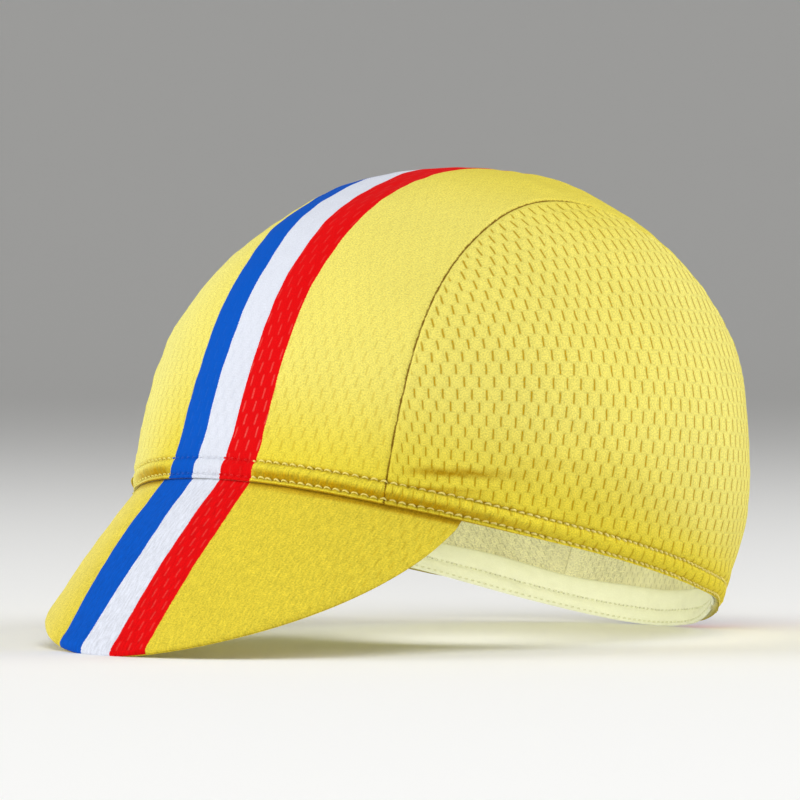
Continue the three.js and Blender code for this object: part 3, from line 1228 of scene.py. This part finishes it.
@dataclass
class CrownPanel:
    """What the crown's panels share: the cloth's faces, its hem and its edges at the seams."""

    form: CapForm
    rest: Rest
    hem: Hem
    seam: Seam
    thickness: float = 1.1
    billow: float = 0.22
    billow_length: float = 34.0
    dimple: float = 0.07
    dimple_length: float = 9.0
    lining_wave: float = 0.15
    lining_length: float = 20.0
    honeycomb: float = 0.06
    column: float = 4.4
    row: float = 4.2
    edge_steps: tuple[float, ...] = (0, 0.25, 0.55, 0.95, 1.5, 2.3, 3.3)
    hem_rows: tuple[float, ...] = (
        0.7, 0.85, 1.05, 1.3, 1.55, 1.8, 2.0, 2.25, 2.6, 3.1, 3.7, 4.3, 4.9, 5.5, 6.0, 6.4, 6.75,
        7.05, 7.4, 7.9, 8.5, 9.2, 10.0, 10.9, 11.8, 12.6, 13.4,
    )

    def spread_row(self, length: float, columns: int) -> Array:
        """Shares along a row, closer together at both ends.

        Args:
            length: The row's length, in mm.
            columns: How many steps it has.

        Returns:
            Shares from 0 to 1.
        """
        steps = np.array(self.edge_steps) * min(1, length / 14)
        middle = np.linspace(steps[-1], length - steps[-1], columns + 3 - 2 * len(steps))
        return np.concatenate([steps[:-1], middle, (length - steps[:-1])[::-1]]) / length

    def painted_shading(self, around: Array, up: Array) -> Array:
        """Painted shade as a deeper yellow: deepest at the hem, and deeper over the top."""
        return 0.45 + 0.55 * (1 - step(up, 2, 42)) + 0.35 * step(up, 92, 122)

    def faces(
        self, mesher: Mesher, place: Array, knit: tuple[Array, Array, Array], side: Side | None
    ) -> None:
        """Adds the panel's outer and inner face and closes its edges.

        Args:
            mesher: Collects the mesh.
            place: The grid of places on the disc.
            knit: The place on the cloth at each point, across and along, and the distance from the
                stripes' middle, in mm.
            side: The side of a side panel, or None.
        """
        turn, climb = self.form.from_disc(place)
        around = self.form.around(turn)
        up = self.form.height * np.sin(climb)
        up = up + (self.hem.edge(around) - self.hem.lowest) * (1 - step(up, self.hem.lowest, 4.5))
        place = self.form.on_disc(turn, self.form.climb_at(np.minimum(up, self.form.height)))
        base, normal = self.form.surface(place)
        seed = 0 if side is None else 2 + side.value
        far, run = self.seam.nearest(base)
        across, along, line = knit
        gape = self.gape(up, far)
        wave = np.cos(FULL_TURN * across / self.column) * np.cos(math.pi * along / self.row)
        calm = step(up, 7.8, 11) * step(far, 0.5, 3)
        out = self.hem.relief(around, up, seed)
        if side is not None:
            out += self.hem.wrinkles(np.abs(around), up, side)
        out += self.seam.relief(far, run, up)
        out -= self.honeycomb * wave * gape * (0.3 + 0.7 * calm)
        billows = self.billow * ripple(across, along, self.billow_length, 41 + seed)
        out += billows * step(up, 5, 30) * step(far, 1, 12)
        out += self.dimple * ripple(across, along, self.dimple_length, 51 + seed) * calm
        outer = base + normal * out[..., None]
        lining = self.lining_wave * ripple(across, along, self.lining_length, 61 + seed)
        deep = self.thickness + self.seam.inner_relief(far[::2, ::2]) + lining[::2, ::2]
        inner = base[::2, ::2] - normal[::2, ::2] * deep[..., None]
        loose = (1 - self.hem.calm(around)) * (1 - 0.85 * self.hem.printed(around))
        values = {
            "across": across,
            "along": along,
            "line": line,
            "seam": far,
            "open": gape,
            # Painted light and shade, as a paler or deeper yellow
            "deep": self.painted_shading(around, up),
            "puff": loose * bell(up, 4.5, 2.2),
            "beat": around / self.hem.stitch_pitch(),
            "lift": self.hem.lift(around, up),
            # Painted shade where the folds face down
            "shade": self.hem.shade(around, up, side),
        }
        print_side = mesher.add(self.rest.place(outer), values | {"inner": 0.0})
        coarse = {key: value[::2, ::2] for key, value in values.items()}
        coarse["open"] = step(far[::2, ::2], self.seam.allowance - 1, self.seam.allowance + 1)
        coarse |= {"seam": NO_SEAM, "lift": NO_SEWING, "puff": 0.0, "inner": 1.0}
        mesher.shell(print_side, mesher.add(self.rest.place(inner), coarse))


@dataclass
class CentrePanel(CrownPanel):
    """The long middle panel, from the front of the hem over the top to its back."""

    columns: int = 196
    dome_rows: int = 143
    tilt: float = 0.0063
    drift: Profile = Profile(
        (-195, -180, -168, -150, -130, -113, -97, -85, -77, -66, -56, -42, -15, 30, 90, 140),
        (-0.5, 1.2, 0.4, -0.6, -0.8, -0.3, -1.2, -2.3, -3.1, -4.7, -6.8, -9.2, -11.5, -9, -2.5, 0),
    )
    flat: tuple[float, float] = (0.152, 0.415)
    flat_area: float = 0.0350

    def places(self) -> Array:
        """The grid of places on the disc, from the front hem to the back hem.

        Returns:
            The places, with x, y on the last axis.
        """
        top = self.form.seam_top()
        hem = self.form.climb_at(np.array(self.hem_rows))
        left = 1 - (np.arange(self.dome_rows) + 1) / (self.dome_rows + 0.5)
        climbs = np.concatenate([hem, top + (hem[-1] - top) * left**2])
        front, back, _ = self.form.seam_turns(climbs)
        curve = np.minimum(1, (top - climbs) / (top - hem[-1]))
        ahead = [self.row_places(*r) for r in zip(front, climbs, curve)]
        behind = [self.row_places(*r) for r in zip(math.pi - back, climbs, curve)]
        behind = [row * np.array([1, -1]) for row in behind]
        return np.array(ahead + behind[::-1])[:-1]

    def row_places(self, turn: float, climb: float, curve: float) -> Array:
        """One row from seam to seam: curved like the rim, or straight across near the top.

        Args:
            turn: The row's turn at its edge, from the panel's own end.
            climb: The row's climb at its edge.
            curve: 1 for a row that follows the rim and 0 for a straight one.

        Returns:
            The row's places.
        """
        edge = self.form.on_disc(np.array(turn), np.array(climb))
        length = 2 * float(self.form.crown(np.array(turn), np.array(climb))[0])
        across = 2 * self.spread_row(max(length, 1), self.columns) - 1
        curved = self.form.on_disc(across * turn, np.array(climb))
        x = across * edge[0] * (1 - curve) + curved[:, 0] * curve
        y = edge[1] * (1 - curve) + curved[:, 1] * curve
        return np.stack([x, y], axis=-1)

    def gape(self, up: Array, far: Array) -> Array:
        """How far the slits gape, from 0 to 1: hardly over the top, more above the hem."""
        low = 1 - step(up, 14, 75)
        return (0.10 + 0.30 * low) * step(far, 0.6, 2.4) * (0.15 + 0.85 * step(up, 6, 12))

    def painted_shading(self, around: Array, up: Array) -> Array:
        """Painted shade as on the sides, but painted sheen makes the yellow pale on the stripes'
        right.
        """
        pale = step(-around, 14, 50) * (1 - step(up, 75, 110))
        return super().painted_shading(around, up) * (1 - 0.9 * pale)

    def grain(self, place: Array) -> tuple[Array, Array]:
        """The place on the flat cloth: across from the middle line, and along from the top.

        Args:
            place: The grid of places.

        Returns:
            The two coordinates, in mm.
        """
        points = self.form.crown(*self.form.from_disc(place))
        across = run_length(points)
        middle = place.shape[1] // 2
        across = across - across[:, middle : middle + 1]
        along = run_length(points.swapaxes(0, 1)).T
        top = np.abs(place[:, middle, 1]).argmin()
        return across, along - along[top : top + 1]

    def build(self, finish: bpy.types.Material) -> bpy.types.Object:
        """Builds the panel.

        Args:
            finish: Its material.

        Returns:
            The panel.
        """
        place = self.places()
        mesher = Mesher("centre_panel_knit")
        across, along = self.grain(place)
        line = across - self.drift(along)
        along = along + self.tilt * across**2 * np.tanh(along / 50)
        self.faces(mesher, place, (across, along, line), None)
        panel = mesher.make(finish)
        dress(panel, "centre_panel")
        return panel


@dataclass
class SidePanel(CrownPanel):
    """A side panel, which the seam bounds from the front of the hem over to its back."""

    side: Side = Side.LEFT
    columns: int = 400
    dome_rows: int = 122
    crowding: float = 1.5
    column: float = 4.8
    level: float = 75.0
    slices: tuple[int, int] = (96, 90)
    flat: tuple[float, float] = (0.200, 0.150)
    flat_area: float = 0.0212

    def gape(self, up: Array, far: Array) -> Array:
        """How far the slits gape, from 0 to 1: fully, save where the hem and seam are sewn."""
        return step(far, 0.5, 2.2) * (0.7 + 0.3 * step(up, 6.5, 11))

    def painted_shading(self, around: Array, up: Array) -> Array:
        """Painted shade as a deeper yellow, with less of it towards the back."""
        behind = step(np.abs(around), 120, 200) * step(up, 6, 22)
        return super().painted_shading(around, up) * (1 - 0.45 * behind)

    def places(self) -> Array:
        """The grid of places on the disc, from the hem up to the seam's top.

        Returns:
            The places, with x, y on the last axis.
        """
        top = self.form.seam_top()
        hem = self.form.climb_at(np.array(self.hem_rows))
        left = 1 - (np.arange(self.dome_rows) + 1) / (self.dome_rows + 0.4)
        climbs = np.concatenate([hem, top + (hem[-1] - top) * left**self.crowding])
        front, back, _ = self.form.seam_turns(climbs)
        rows = []
        for climb, start, end in zip(climbs, front, back):
            ends = self.form.crown(np.array([start, (start + end) / 2, end]), np.full(3, climb))
            length = max(float(run_length(ends)[-1]), 0.5)
            turn = start + (end - start) * self.spread_row(length, self.columns)
            rows.append(self.form.on_disc(turn, np.array(climb)))
        return np.array(rows)

    def grain(self, place: Array) -> tuple[Array, Array]:
        """The place on the flat cloth, whose columns stand upright as the cap lies.

        Args:
            place: The grid of places.

        Returns:
            Across from front to back, and along upwards from a level line, in mm.
        """
        turn, climb = self.form.from_disc(place)
        lying = self.rest.turned(self.form.crown(turn, climb))
        count, levels = self.slices
        cuts = np.linspace(lying[..., 1].min() - 1, lying[..., 1].max() + 1, count)
        climbs = np.linspace(0, climb.max(), levels)
        low, high = np.zeros(self.slices), np.full(self.slices, math.pi)
        rows = np.broadcast_to(climbs, low.shape)
        for _ in range(HALVINGS):
            middle = (low + high) / 2
            ahead = self.rest.turned(self.form.crown(middle, rows))[..., 1] < cuts[:, None]
            low, high = np.where(ahead, middle, low), np.where(ahead, high, middle)
        slices = self.rest.turned(self.form.crown(low, rows))
        slices[..., 1] = cuts[:, None]
        run = run_length(slices)
        start = [np.interp(self.level, z, r) for z, r in zip(slices[..., 2], run)]
        run = run - np.array(start)[:, None]
        section = [[np.interp(self.level, s[:, 2], s[:, 0]), y, 0] for s, y in zip(slices, cuts)]
        across = np.interp(lying[..., 1], cuts, run_length(np.array(section)))
        i = np.interp(lying[..., 1], cuts, np.arange(float(count)))
        j = np.interp(climb, climbs, np.arange(float(levels)))
        i0, j0 = np.minimum(i.astype(int), count - 2), np.minimum(j.astype(int), levels - 2)
        di, dj = i - i0, j - j0
        near = run[i0, j0] * (1 - dj) + run[i0, j0 + 1] * dj
        far = run[i0 + 1, j0] * (1 - dj) + run[i0 + 1, j0 + 1] * dj
        return across, near * (1 - di) + far * di

    def build(self, finish: bpy.types.Material) -> bpy.types.Object:
        """Builds the panel.

        Args:
            finish: Its material.

        Returns:
            The panel.
        """
        name = f"side_panel_{self.side.name.lower()}"
        place = self.places()
        mesher = Mesher(f"{name}_knit")
        across, along = SIDE_STRETCH.apply(*self.grain(place))
        self.faces(mesher, place, (across, along, NO_PRINT + 0 * across), self.side)
        panel = mesher.make(finish, mirror=self.side is Side.RIGHT)
        dress(panel, name)
        return panel


@dataclass
class Sweatband:
    """The band sewn inside the rim."""

    form: CapForm
    rest: Rest
    hem: Hem
    height: float = 12.0
    near: float = -1.35
    thickness: float = 1.3
    tuck: float = 0.1
    drop: float = 1.5
    drop_left: tuple[float, float] = (240, 262)
    drop_right: tuple[float, float] = (175, 235)
    upper_row: float = 5.0
    lower_row: float = 0.9
    pitch: float = 2.2
    columns: int = 560
    steps: int = 24
    flat: tuple[float, float] = (0.560, 0.0125)

    def start(self, around: Array) -> Array:
        """The height of the band's lower edge: the hem's, or lower on the far side of the rim."""
        left, right = step(around, *self.drop_left), step(-around, *self.drop_right)
        return self.hem.edge(around) + self.tuck - self.drop * np.where(around > 0, left, right)

    def bulge(self, around: Array, up: Array) -> Array:
        """How far the inner face stands in: soft between its rows and rolled at its edges.

        Args:
            around: Distance round the rim, in mm.
            up: Height above the rim, in mm.

        Returns:
            The distance inwards, in mm.
        """
        share = up / self.height
        roll = np.sqrt(np.clip(1 - (2 * share - 1) ** 8, 0, 1))
        rows = 0.45 * bell(up, self.upper_row, 0.55) + 0.25 * bell(up, self.lower_row, 0.4)
        puff = 0.25 * bell(up, 3.2, 1.2) + 0.35 * bell(up, 8.5, 2.6)
        ease = 0.12 * ripple(around, up * 3, 26, 71) + 0.05 * ripple(around, up, 6, 72)
        return roll * (self.thickness + puff - rows + ease * roll)

    def build(self, finish: bpy.types.Material) -> bpy.types.Object:
        """Builds the band.

        Args:
            finish: Its material.

        Returns:
            The band.
        """
        turns = np.linspace(0, FULL_TURN, self.columns, endpoint=False)
        shares = (1 - np.cos(np.linspace(0, math.pi, self.steps + 1))) / 2
        ups = self.height * (0.55 * shares + 0.45 * np.linspace(0, 1, self.steps + 1))
        turn, up = np.meshgrid(turns, ups)
        signed = self.form.around(np.where(turn > math.pi, turn - FULL_TURN, turn))
        side, start = np.abs(signed), self.start(signed)
        wave = 0.3 * ripple(self.form.around(np.minimum(turn, FULL_TURN - turn)), 0 * up, 60, 73)
        climb = self.form.climb_at(up + start * (1 - up / self.height) + wave * up / self.height)
        base, normal = self.form.surface(self.form.on_disc(turn, climb))
        around = np.where(turn > math.pi, 2 * self.form.half_girth() - side, side)
        inner = base + normal * (self.near - self.bulge(side, up))[..., None]
        outer = base + normal * self.near
        mesher = Mesher("sweatband_cloth")
        values = {"across": around[:, ::-1], "along": up[:, ::-1], "inner": 1.0}
        shown = mesher.add(self.rest.place(inner[:, ::-1]), values)
        values = {"across": around[::2, -2::-2], "along": up[::2, -2::-2], "inner": 0.0}
        hidden = mesher.add(self.rest.place(outer[::2, -2::-2]), values)
        mesher.shell(np.roll(shown, -1, axis=1), hidden, ring=True)
        band = mesher.make(finish)
        dress(band, "sweatband")
        return band


@dataclass
class Peak:
    """The peak: cloth covers over a stiff core, sewn to the front of the hem."""

    form: CapForm
    rest: Rest
    columns: int = 260
    body_rows: int = 52
    edge_rows: int = 10
    honeycomb: float = 0.03
    column: float = 4.4
    row: float = 3.9
    blue_flare: float = 3.8
    root: float = 1.6

    def build(self, finish: bpy.types.Material) -> bpy.types.Object:
        """Builds the peak.

        Args:
            finish: Its material.

        Returns:
            The peak.
        """
        form, radius = self.form, self.form.peak_thickness / 2
        ease = np.linspace(-1, 1, self.columns + 1)
        turns = form.peak_half_angle * (0.8 * ease + 0.2 * np.sin(ease * QUARTER))
        reach = form.peak_reach(turns)
        share = np.linspace(0, 1, self.body_rows + 1)[:-1]
        arc = QUARTER * np.linspace(0, 1, self.edge_rows + 1)
        body = (reach - radius + self.root)[None, :] * share[:, None] - self.root
        edge = (reach - radius)[None, :] + radius * np.sin(arc)[:, None]
        along = np.concatenate([body, edge])
        fullness = np.concatenate([np.ones(self.body_rows), np.maximum(np.cos(arc), 0.03)])[:, None]
        turn = np.broadcast_to(turns, along.shape)
        top, normal = form.peak(turn, along), form.peak_normal(turn, along)
        across = form.around(turn)
        wave = np.cos(FULL_TURN * across / self.column) * np.cos(math.pi * along / self.row)
        flat = fullness >= 1
        soft = 0.12 * ripple(across, along, 26, 81) + 0.04 * ripple(across, along, 8, 82)
        out = np.where(flat, soft * step(along, 0, 6) - self.honeycomb * wave, 0)
        out = out + 0.25 * bell(reach[None, :] - along, 3.0, 1.6) * step(reach[None, :], 6, 20)
        upper = top + normal * (out - radius * (1 - fullness))[..., None]
        lower = top - normal * (radius * (1 + fullness))[..., None]
        mesher = Mesher("peak_cover")
        rim = np.where(fullness < 0.25, 0.2, NO_SEAM) + 0 * along
        order = (slice(None), slice(None, None, -1))
        flare = self.blue_flare * (1 - step(along, 12, 75)) * step(-across, 8, 20)
        gape = 0.08 + 0.28 * step(np.abs(across), 52, 80) + 0.12 * bell(across, 13, 8)
        root_shade = 0.95 * (1 - step(along, 0.1, 1.3)) * (1 - 0.7 * step(-across, 25, 60))
        values = {
            "across": across[order],
            "along": along[order],
            "line": (across + flare)[order],
            "open": (gape * flat)[order],
            "seam": rim[order],
            # Painted shade as the deeper yellow, giving way to painted light towards the wearer's
            # right
            "deep": (1 - 0.8 * step(-across, 14, 45))[order],
            "puff": 0.0,
            "beat": 0.0,
            "lift": NO_SEWING,
            "shade": root_shade[order],
            "inner": 0.0,
        }
        shown = mesher.add(self.rest.place(upper[order]), values)
        coarse = {k: v[::2, ::2] if isinstance(v, np.ndarray) else v for k, v in values.items()}
        coarse |= {"seam": NO_SEAM, "line": NO_PRINT}
        mesher.shell(shown, mesher.add(self.rest.place(lower[order][::2, ::2]), coarse))
        peak = mesher.make(finish)
        dress(peak, "peak")
        return peak


@dataclass
class StitchRows:
    """Rows of short stitches, each a small arch of thread whose ends go into the cloth."""

    form: CapForm
    rest: Rest
    hem: Hem
    seam: Seam
    radius: float = 0.30
    sides: int = 6
    rings: int = 8
    hem_lift: float = 0.22
    hem_sink: float = 0.35
    hem_bow: float = 0.55
    band_lift: float = 0.08
    band_sink: float = 0.25
    print_reach: float = 19.5

    def arches(
        self, mesher: Mesher, ends: Array, normal: Array, lift: float, sink: float, bow: Array
    ) -> None:
        """Adds one arch of thread for each pair of ends.

        Args:
            mesher: Collects the mesh.
            ends: Start and end of each stitch on the cloth, as an array of pairs of points.
            normal: The cloth's outward direction at each stitch.
            lift: How far the middle stands out, in mm.
            sink: How far the ends lie under the cloth's face, in mm.
            bow: How far the middle of each bows sideways, in mm.
        """
        t = np.linspace(0, 1, self.rings)
        rise = lift * (1 - (2 * t - 1) ** 4) - sink * (2 * t - 1) ** 6
        line = ends[:, None, 0] + (ends[:, None, 1] - ends[:, None, 0]) * t[None, :, None]
        line = line + normal[:, None, :] * rise[None, :, None]
        onward = ends[:, 1] - ends[:, 0]
        onward /= np.linalg.norm(onward, axis=1, keepdims=True)
        sideways = np.cross(normal, onward)
        curve = (1 - (2 * t - 1) ** 2)[None, :] * bow[:, None]
        line = line + sideways[:, None, :] * curve[:, :, None]
        angle = FULL_TURN * np.arange(self.sides) / self.sides
        fat = self.radius * (1 - 0.55 * (2 * t - 1) ** 6)
        ring = (
            sideways[:, None, None, :] * np.cos(angle)[None, None, :, None]
            + normal[:, None, None, :] * np.sin(angle)[None, None, :, None]
        )
        tube = line[:, :, None, :] + ring * fat[None, :, None, None]
        length = np.linalg.norm(ends[:, 1] - ends[:, 0], axis=1)
        x, y = line[..., 0], line[..., 1]
        numbers = mesher.add(
            self.rest.place(tube),
            {
                "across": angle[None, None, :],
                "along": length[:, None, None] * t[None, :, None],
                "inner": np.arange(len(ends))[:, None, None] * 3.0,
                "line": np.where((y > 0) & (x < -self.print_reach), NO_PRINT, x)[:, :, None],
            },
        )
        numbers = np.concatenate([numbers, numbers[:, :, :1]], axis=2)
        for grid in numbers:
            mesher.skin(grid, flip=True)

    def hem_stitches(self, finish: bpy.types.Material) -> bpy.types.Object:
        """Builds the hem's two rows.

        Args:
            finish: The thread's material.

        Returns:
            The stitches.
        """
        mesher = Mesher("hem_stitches")
        rng = np.random.default_rng(5)
        half, pitch = self.form.half_girth(), self.hem.stitch_pitch()
        count = round(2 * half / pitch)
        for row, shift in ((self.hem.upper_row, 0.5), (self.hem.lower_row, 0.15)):
            first = math.ceil(-half / pitch - shift)
            middle = pitch * (first + np.arange(count) + shift) + rng.normal(0, 0.08, count)
            front = (1 - self.hem.calm(middle)) * (1 - 0.8 * self.hem.printed(middle))
            length = (0.64 + 0.16 * front) * pitch * rng.normal(1, 0.05, count)
            up = row + row - self.hem.lift(middle, row + 0 * middle) + rng.normal(0, 0.05, count)
            slant = rng.normal(0.0, 0.05, count) - 0.18 * np.sign(middle) * (1 - front)
            ends, normals = [], []
            for sign in (-1, 1):
                around = np.clip(middle + sign * length / 2, -half, half)
                height = up + sign * slant
                place = self.form.on_disc(self.form.turn_at(around), self.form.climb_at(height))
                base, normal = self.form.surface(place)
                far, run = self.seam.nearest(base)
                out = self.hem.relief(around, height, 0) + self.seam.relief(far, run, height) * 0.3
                printed = self.hem.printed(around)
                drawn_in = step(-around, 16, 22) * (1 - step(-around, 95, 120))
                out = out + 0.25 - 0.22 * np.maximum(printed, drawn_in) - 0.20 * printed
                ends.append(base + normal * out[:, None])
                normals.append(normal)
            bow = self.hem_bow * front
            ends = np.stack(ends, axis=1)
            self.arches(mesher, ends, normals[0], self.hem_lift, self.hem_sink, bow)
        stitches = mesher.make(finish)
        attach(stitches, BODY)
        return stitches

    def band_stitches(self, band: Sweatband, finish: bpy.types.Material) -> bpy.types.Object:
        """Builds the sweatband's two rows.

        Args:
            band: The sweatband.
            finish: The thread's material.

        Returns:
            The stitches.
        """
        mesher = Mesher("sweatband_stitches")
        rng = np.random.default_rng(6)
        half = self.form.half_girth()
        count = round(2 * half / band.pitch)
        gap = 2 * half / count
        for row in (band.upper_row, band.lower_row):
            middle = -half + gap * (np.arange(count) + 0.5) + rng.normal(0, 0.04, count)
            ends, normals = [], []
            for sign in (-1, 1):
                around = np.clip(middle + sign * 0.3 * gap, -half, half)
                height = row + 0 * around
                level = height + band.start(around) * (1 - height / band.height)
                place = self.form.on_disc(self.form.turn_at(around), self.form.climb_at(level))
                base, normal = self.form.surface(place)
                inwards = band.near - band.bulge(np.abs(around), height)
                ends.append(base + normal * (inwards - 0.04)[:, None])
                normals.append(-normal)
            ends = np.stack(ends, axis=1)
            self.arches(mesher, ends, normals[0], self.band_lift, self.band_sink, 0 * middle)
        stitches = mesher.make(finish)
        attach(stitches, BODY)
        return stitches


def hang(name: str, data: bpy.types.ID, place: Vector, away: Vector) -> bpy.types.Object:
    """Hangs a lamp or a camera in the scene.

    Args:
        name: Its name.
        data: The lamp's or the camera's data.
        place: Where it hangs, in metres.
        away: The direction from what it faces to it.

    Returns:
        The lamp or the camera.
    """
    thing = bpy.data.objects.new(name, data)
    thing.location = place
    thing.rotation_mode = "QUATERNION"
    thing.rotation_quaternion = away.to_track_quat("Z", "Y")
    bpy.context.scene.collection.objects.link(thing)
    return thing


def way(azimuth: float, elevation: float) -> Vector:
    """The direction at an azimuth, 0 in front of the peak, and an elevation, in radians."""
    level = math.cos(elevation)
    return Vector((math.sin(azimuth) * level, -math.cos(azimuth) * level, math.sin(elevation)))


@dataclass(frozen=True)
class Lamp:
    """A soft square light that faces the cap.

    Its azimuth is in degrees round the cap, 0 in front of the peak and 90 on the wearer's left, and
    its elevation in degrees above the floor. Its share is how bright it alone makes a white thing
    that faces it, where 1 is white.
    """

    name: str
    azimuth: float
    elevation: float
    reach: float
    size: float
    share: float
    aim: Vector = Vector((0, 0, 0.07))

    def build(self) -> None:
        """Hangs the light."""
        data = bpy.data.lights.new(self.name, "AREA")
        data.shape, data.size = "SQUARE", self.size
        data.energy = self.share * (math.pi * self.reach) ** 2
        away = way(math.radians(self.azimuth), math.radians(self.elevation))
        hang(self.name, data, away * self.reach + self.aim, away)


@dataclass(frozen=True)
class InsideFill:
    """A small soft light inside the crown, so that its lining shows as in daylight."""

    place: Vector = Vector((0.030, -0.030, 0.058))
    target: Vector = Vector((-0.02, 0.10, 0.035))
    size: float = 0.06
    watts: float = 0.048
    spread: float = math.radians(130)

    def build(self) -> None:
        """Hangs the light."""
        data = bpy.data.lights.new("inside", "AREA")
        data.shape, data.size, data.energy = "DISK", self.size, self.watts
        data.spread = self.spread
        hang("inside", data, self.place, self.place - self.target).visible_camera = False


@dataclass(frozen=True)
class Studio:
    """A pale floor that sweeps up far away, soft lights, and the camera."""

    azimuth: float = math.radians(49.256)
    elevation: float = math.radians(0.8)
    distance: float = 1.59162
    aside: float = -0.003045
    target_height: float = 0.074537
    focal_pixels: float = 5094.18
    frame_pixels: float = 800.0
    sensor: float = 36.0
    clip: tuple[float, float] = (0.05, 60.0)
    floor_radius: float = 6.0
    wall_height: float = 5.0
    floor_rings: int = 24
    sweep_rings: int = 16
    spokes: int = 96
    paper: int = 0xF9F9F8
    air: tuple[float, float, float, float] = (1.0, 0.995, 0.98, 1)
    air_strength: float = 0.32
    lights: tuple[Lamp | InsideFill, ...] = (
        Lamp("high", 60, 55, 2.4, 1.6, 0.39),
        Lamp("left", -40, 24, 2.4, 1.4, 0.38),
        Lamp("low", -20, 8, 2.6, 0.7, 0.19),
        Lamp("behind", 140, 25, 2.4, 1.4, 0.45),
        Lamp("front", 49, 3, 3.0, 0.3, 0.10),
        InsideFill(),
    )

    def floor(self) -> bpy.types.Object:
        """Builds the floor, a wide disc whose edge sweeps up.

        Returns:
            The floor.
        """
        count = self.floor_rings + self.sweep_rings
        reach = np.full(count, self.floor_radius)
        reach[: self.floor_rings] = np.linspace(0.02, self.floor_radius, self.floor_rings)
        sweep = np.linspace(0, QUARTER, self.sweep_rings + 1)[1:]
        reach[self.floor_rings :] += self.wall_height * np.sin(sweep)
        rises = np.zeros(count)
        rises[self.floor_rings :] = self.wall_height * (1 - np.cos(sweep))
        angles = np.linspace(0, FULL_TURN, self.spokes + 1)
        points = np.zeros((count, self.spokes + 1, 3))
        points[..., 0] = reach[:, None] * np.cos(angles)
        points[..., 1] = reach[:, None] * np.sin(angles)
        points[..., 2] = rises[:, None]
        mesher = Mesher("studio_floor")
        numbers = mesher.add(points, {})
        mesher.skin(numbers, flip=True)
        middle = mesher.add(np.zeros((1, 3)), {})
        fan = [np.full(self.spokes, middle[0]), numbers[0, :-1], numbers[0, 1:]]
        mesher.triangles.append(np.stack(fan, axis=-1))
        loom = Loom("studio_paper")
        loom.shader.inputs["Base Color"].default_value = paint(self.paper)
        loom.shader.inputs["Roughness"].default_value = 0.9
        loom.shader.inputs["Specular IOR Level"].default_value = 0.1
        floor = mesher.make(loom.material)
        return floor

    def camera(self) -> None:
        """Adds the camera, at the photograph's angle."""
        data = bpy.data.cameras.new("camera")
        data.sensor_width = self.sensor
        data.lens = self.focal_pixels * self.sensor / self.frame_pixels
        data.clip_start, data.clip_end = self.clip
        right = Vector((math.cos(self.azimuth), math.sin(self.azimuth), 0))
        back = way(self.azimuth, self.elevation)
        target = Vector((0, 0, self.target_height)) + right * self.aside
        bpy.context.scene.camera = hang("camera", data, target + back * self.distance, back)

    def build(self) -> None:
        """Builds the floor, the lights, the air's light and the camera."""
        self.floor()
        for light in self.lights:
            light.build()
        world = bpy.data.worlds.new("studio_air")
        world.use_nodes = True
        air = world.node_tree.nodes["Background"]
        air.inputs["Color"].default_value = self.air
        air.inputs["Strength"].default_value = self.air_strength
        bpy.context.scene.world = world
        bpy.context.scene.view_settings.view_transform = "Standard"
        self.camera()


def report(piece: bpy.types.Object) -> None:
    """Logs a piece's name and how many triangles it has."""
    count = sum(len(face.vertices) - 2 for face in piece.data.polygons)
    LOG.info("%s: %d triangles", piece.name, count)


def main() -> None:
    """Builds the cap's pieces in order, and then the studio."""
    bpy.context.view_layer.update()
    form, rest = CapForm(), Rest()
    hem, seam = Hem(form), Seam(form)
    side_knit = MeshKnit("side_panel_knit", SidePanel.column, SidePanel.row)
    middle_knit = MeshKnit("centre_panel_knit", CentrePanel.column, CentrePanel.row, striped=True)
    # The peak's yellows are darker than the crown's, as painted shade.
    peak_knit = MeshKnit(
        "peak_knit", Peak.column, Peak.row, striped=True, yellow=0xE9DB72, shaded_yellow=0xDBC73C,
        brushed=0.5,
    )
    plain, striped, cover = side_knit.material(), middle_knit.material(), peak_knit.material()
    thread = Thread(print_over=True).material()
    pale_thread = Thread("sweatband_thread", light=0xF0F2CC, dark=0xCFCE9E).material()
    report(CentrePanel(form, rest, hem, seam).build(striped))
    for side in Side:
        report(SidePanel(form, rest, hem, seam, side=side).build(plain))
    band = Sweatband(form, rest, hem)
    report(band.build(BandKnit().material()))
    report(Peak(form, rest).build(cover))
    rows = StitchRows(form, rest, hem, seam)
    report(rows.hem_stitches(thread))
    report(rows.band_stitches(band, pale_thread))
    Studio().build()


if __name__ == "__main__":
    logging.basicConfig(level=logging.INFO, format="%(message)s")
    main()
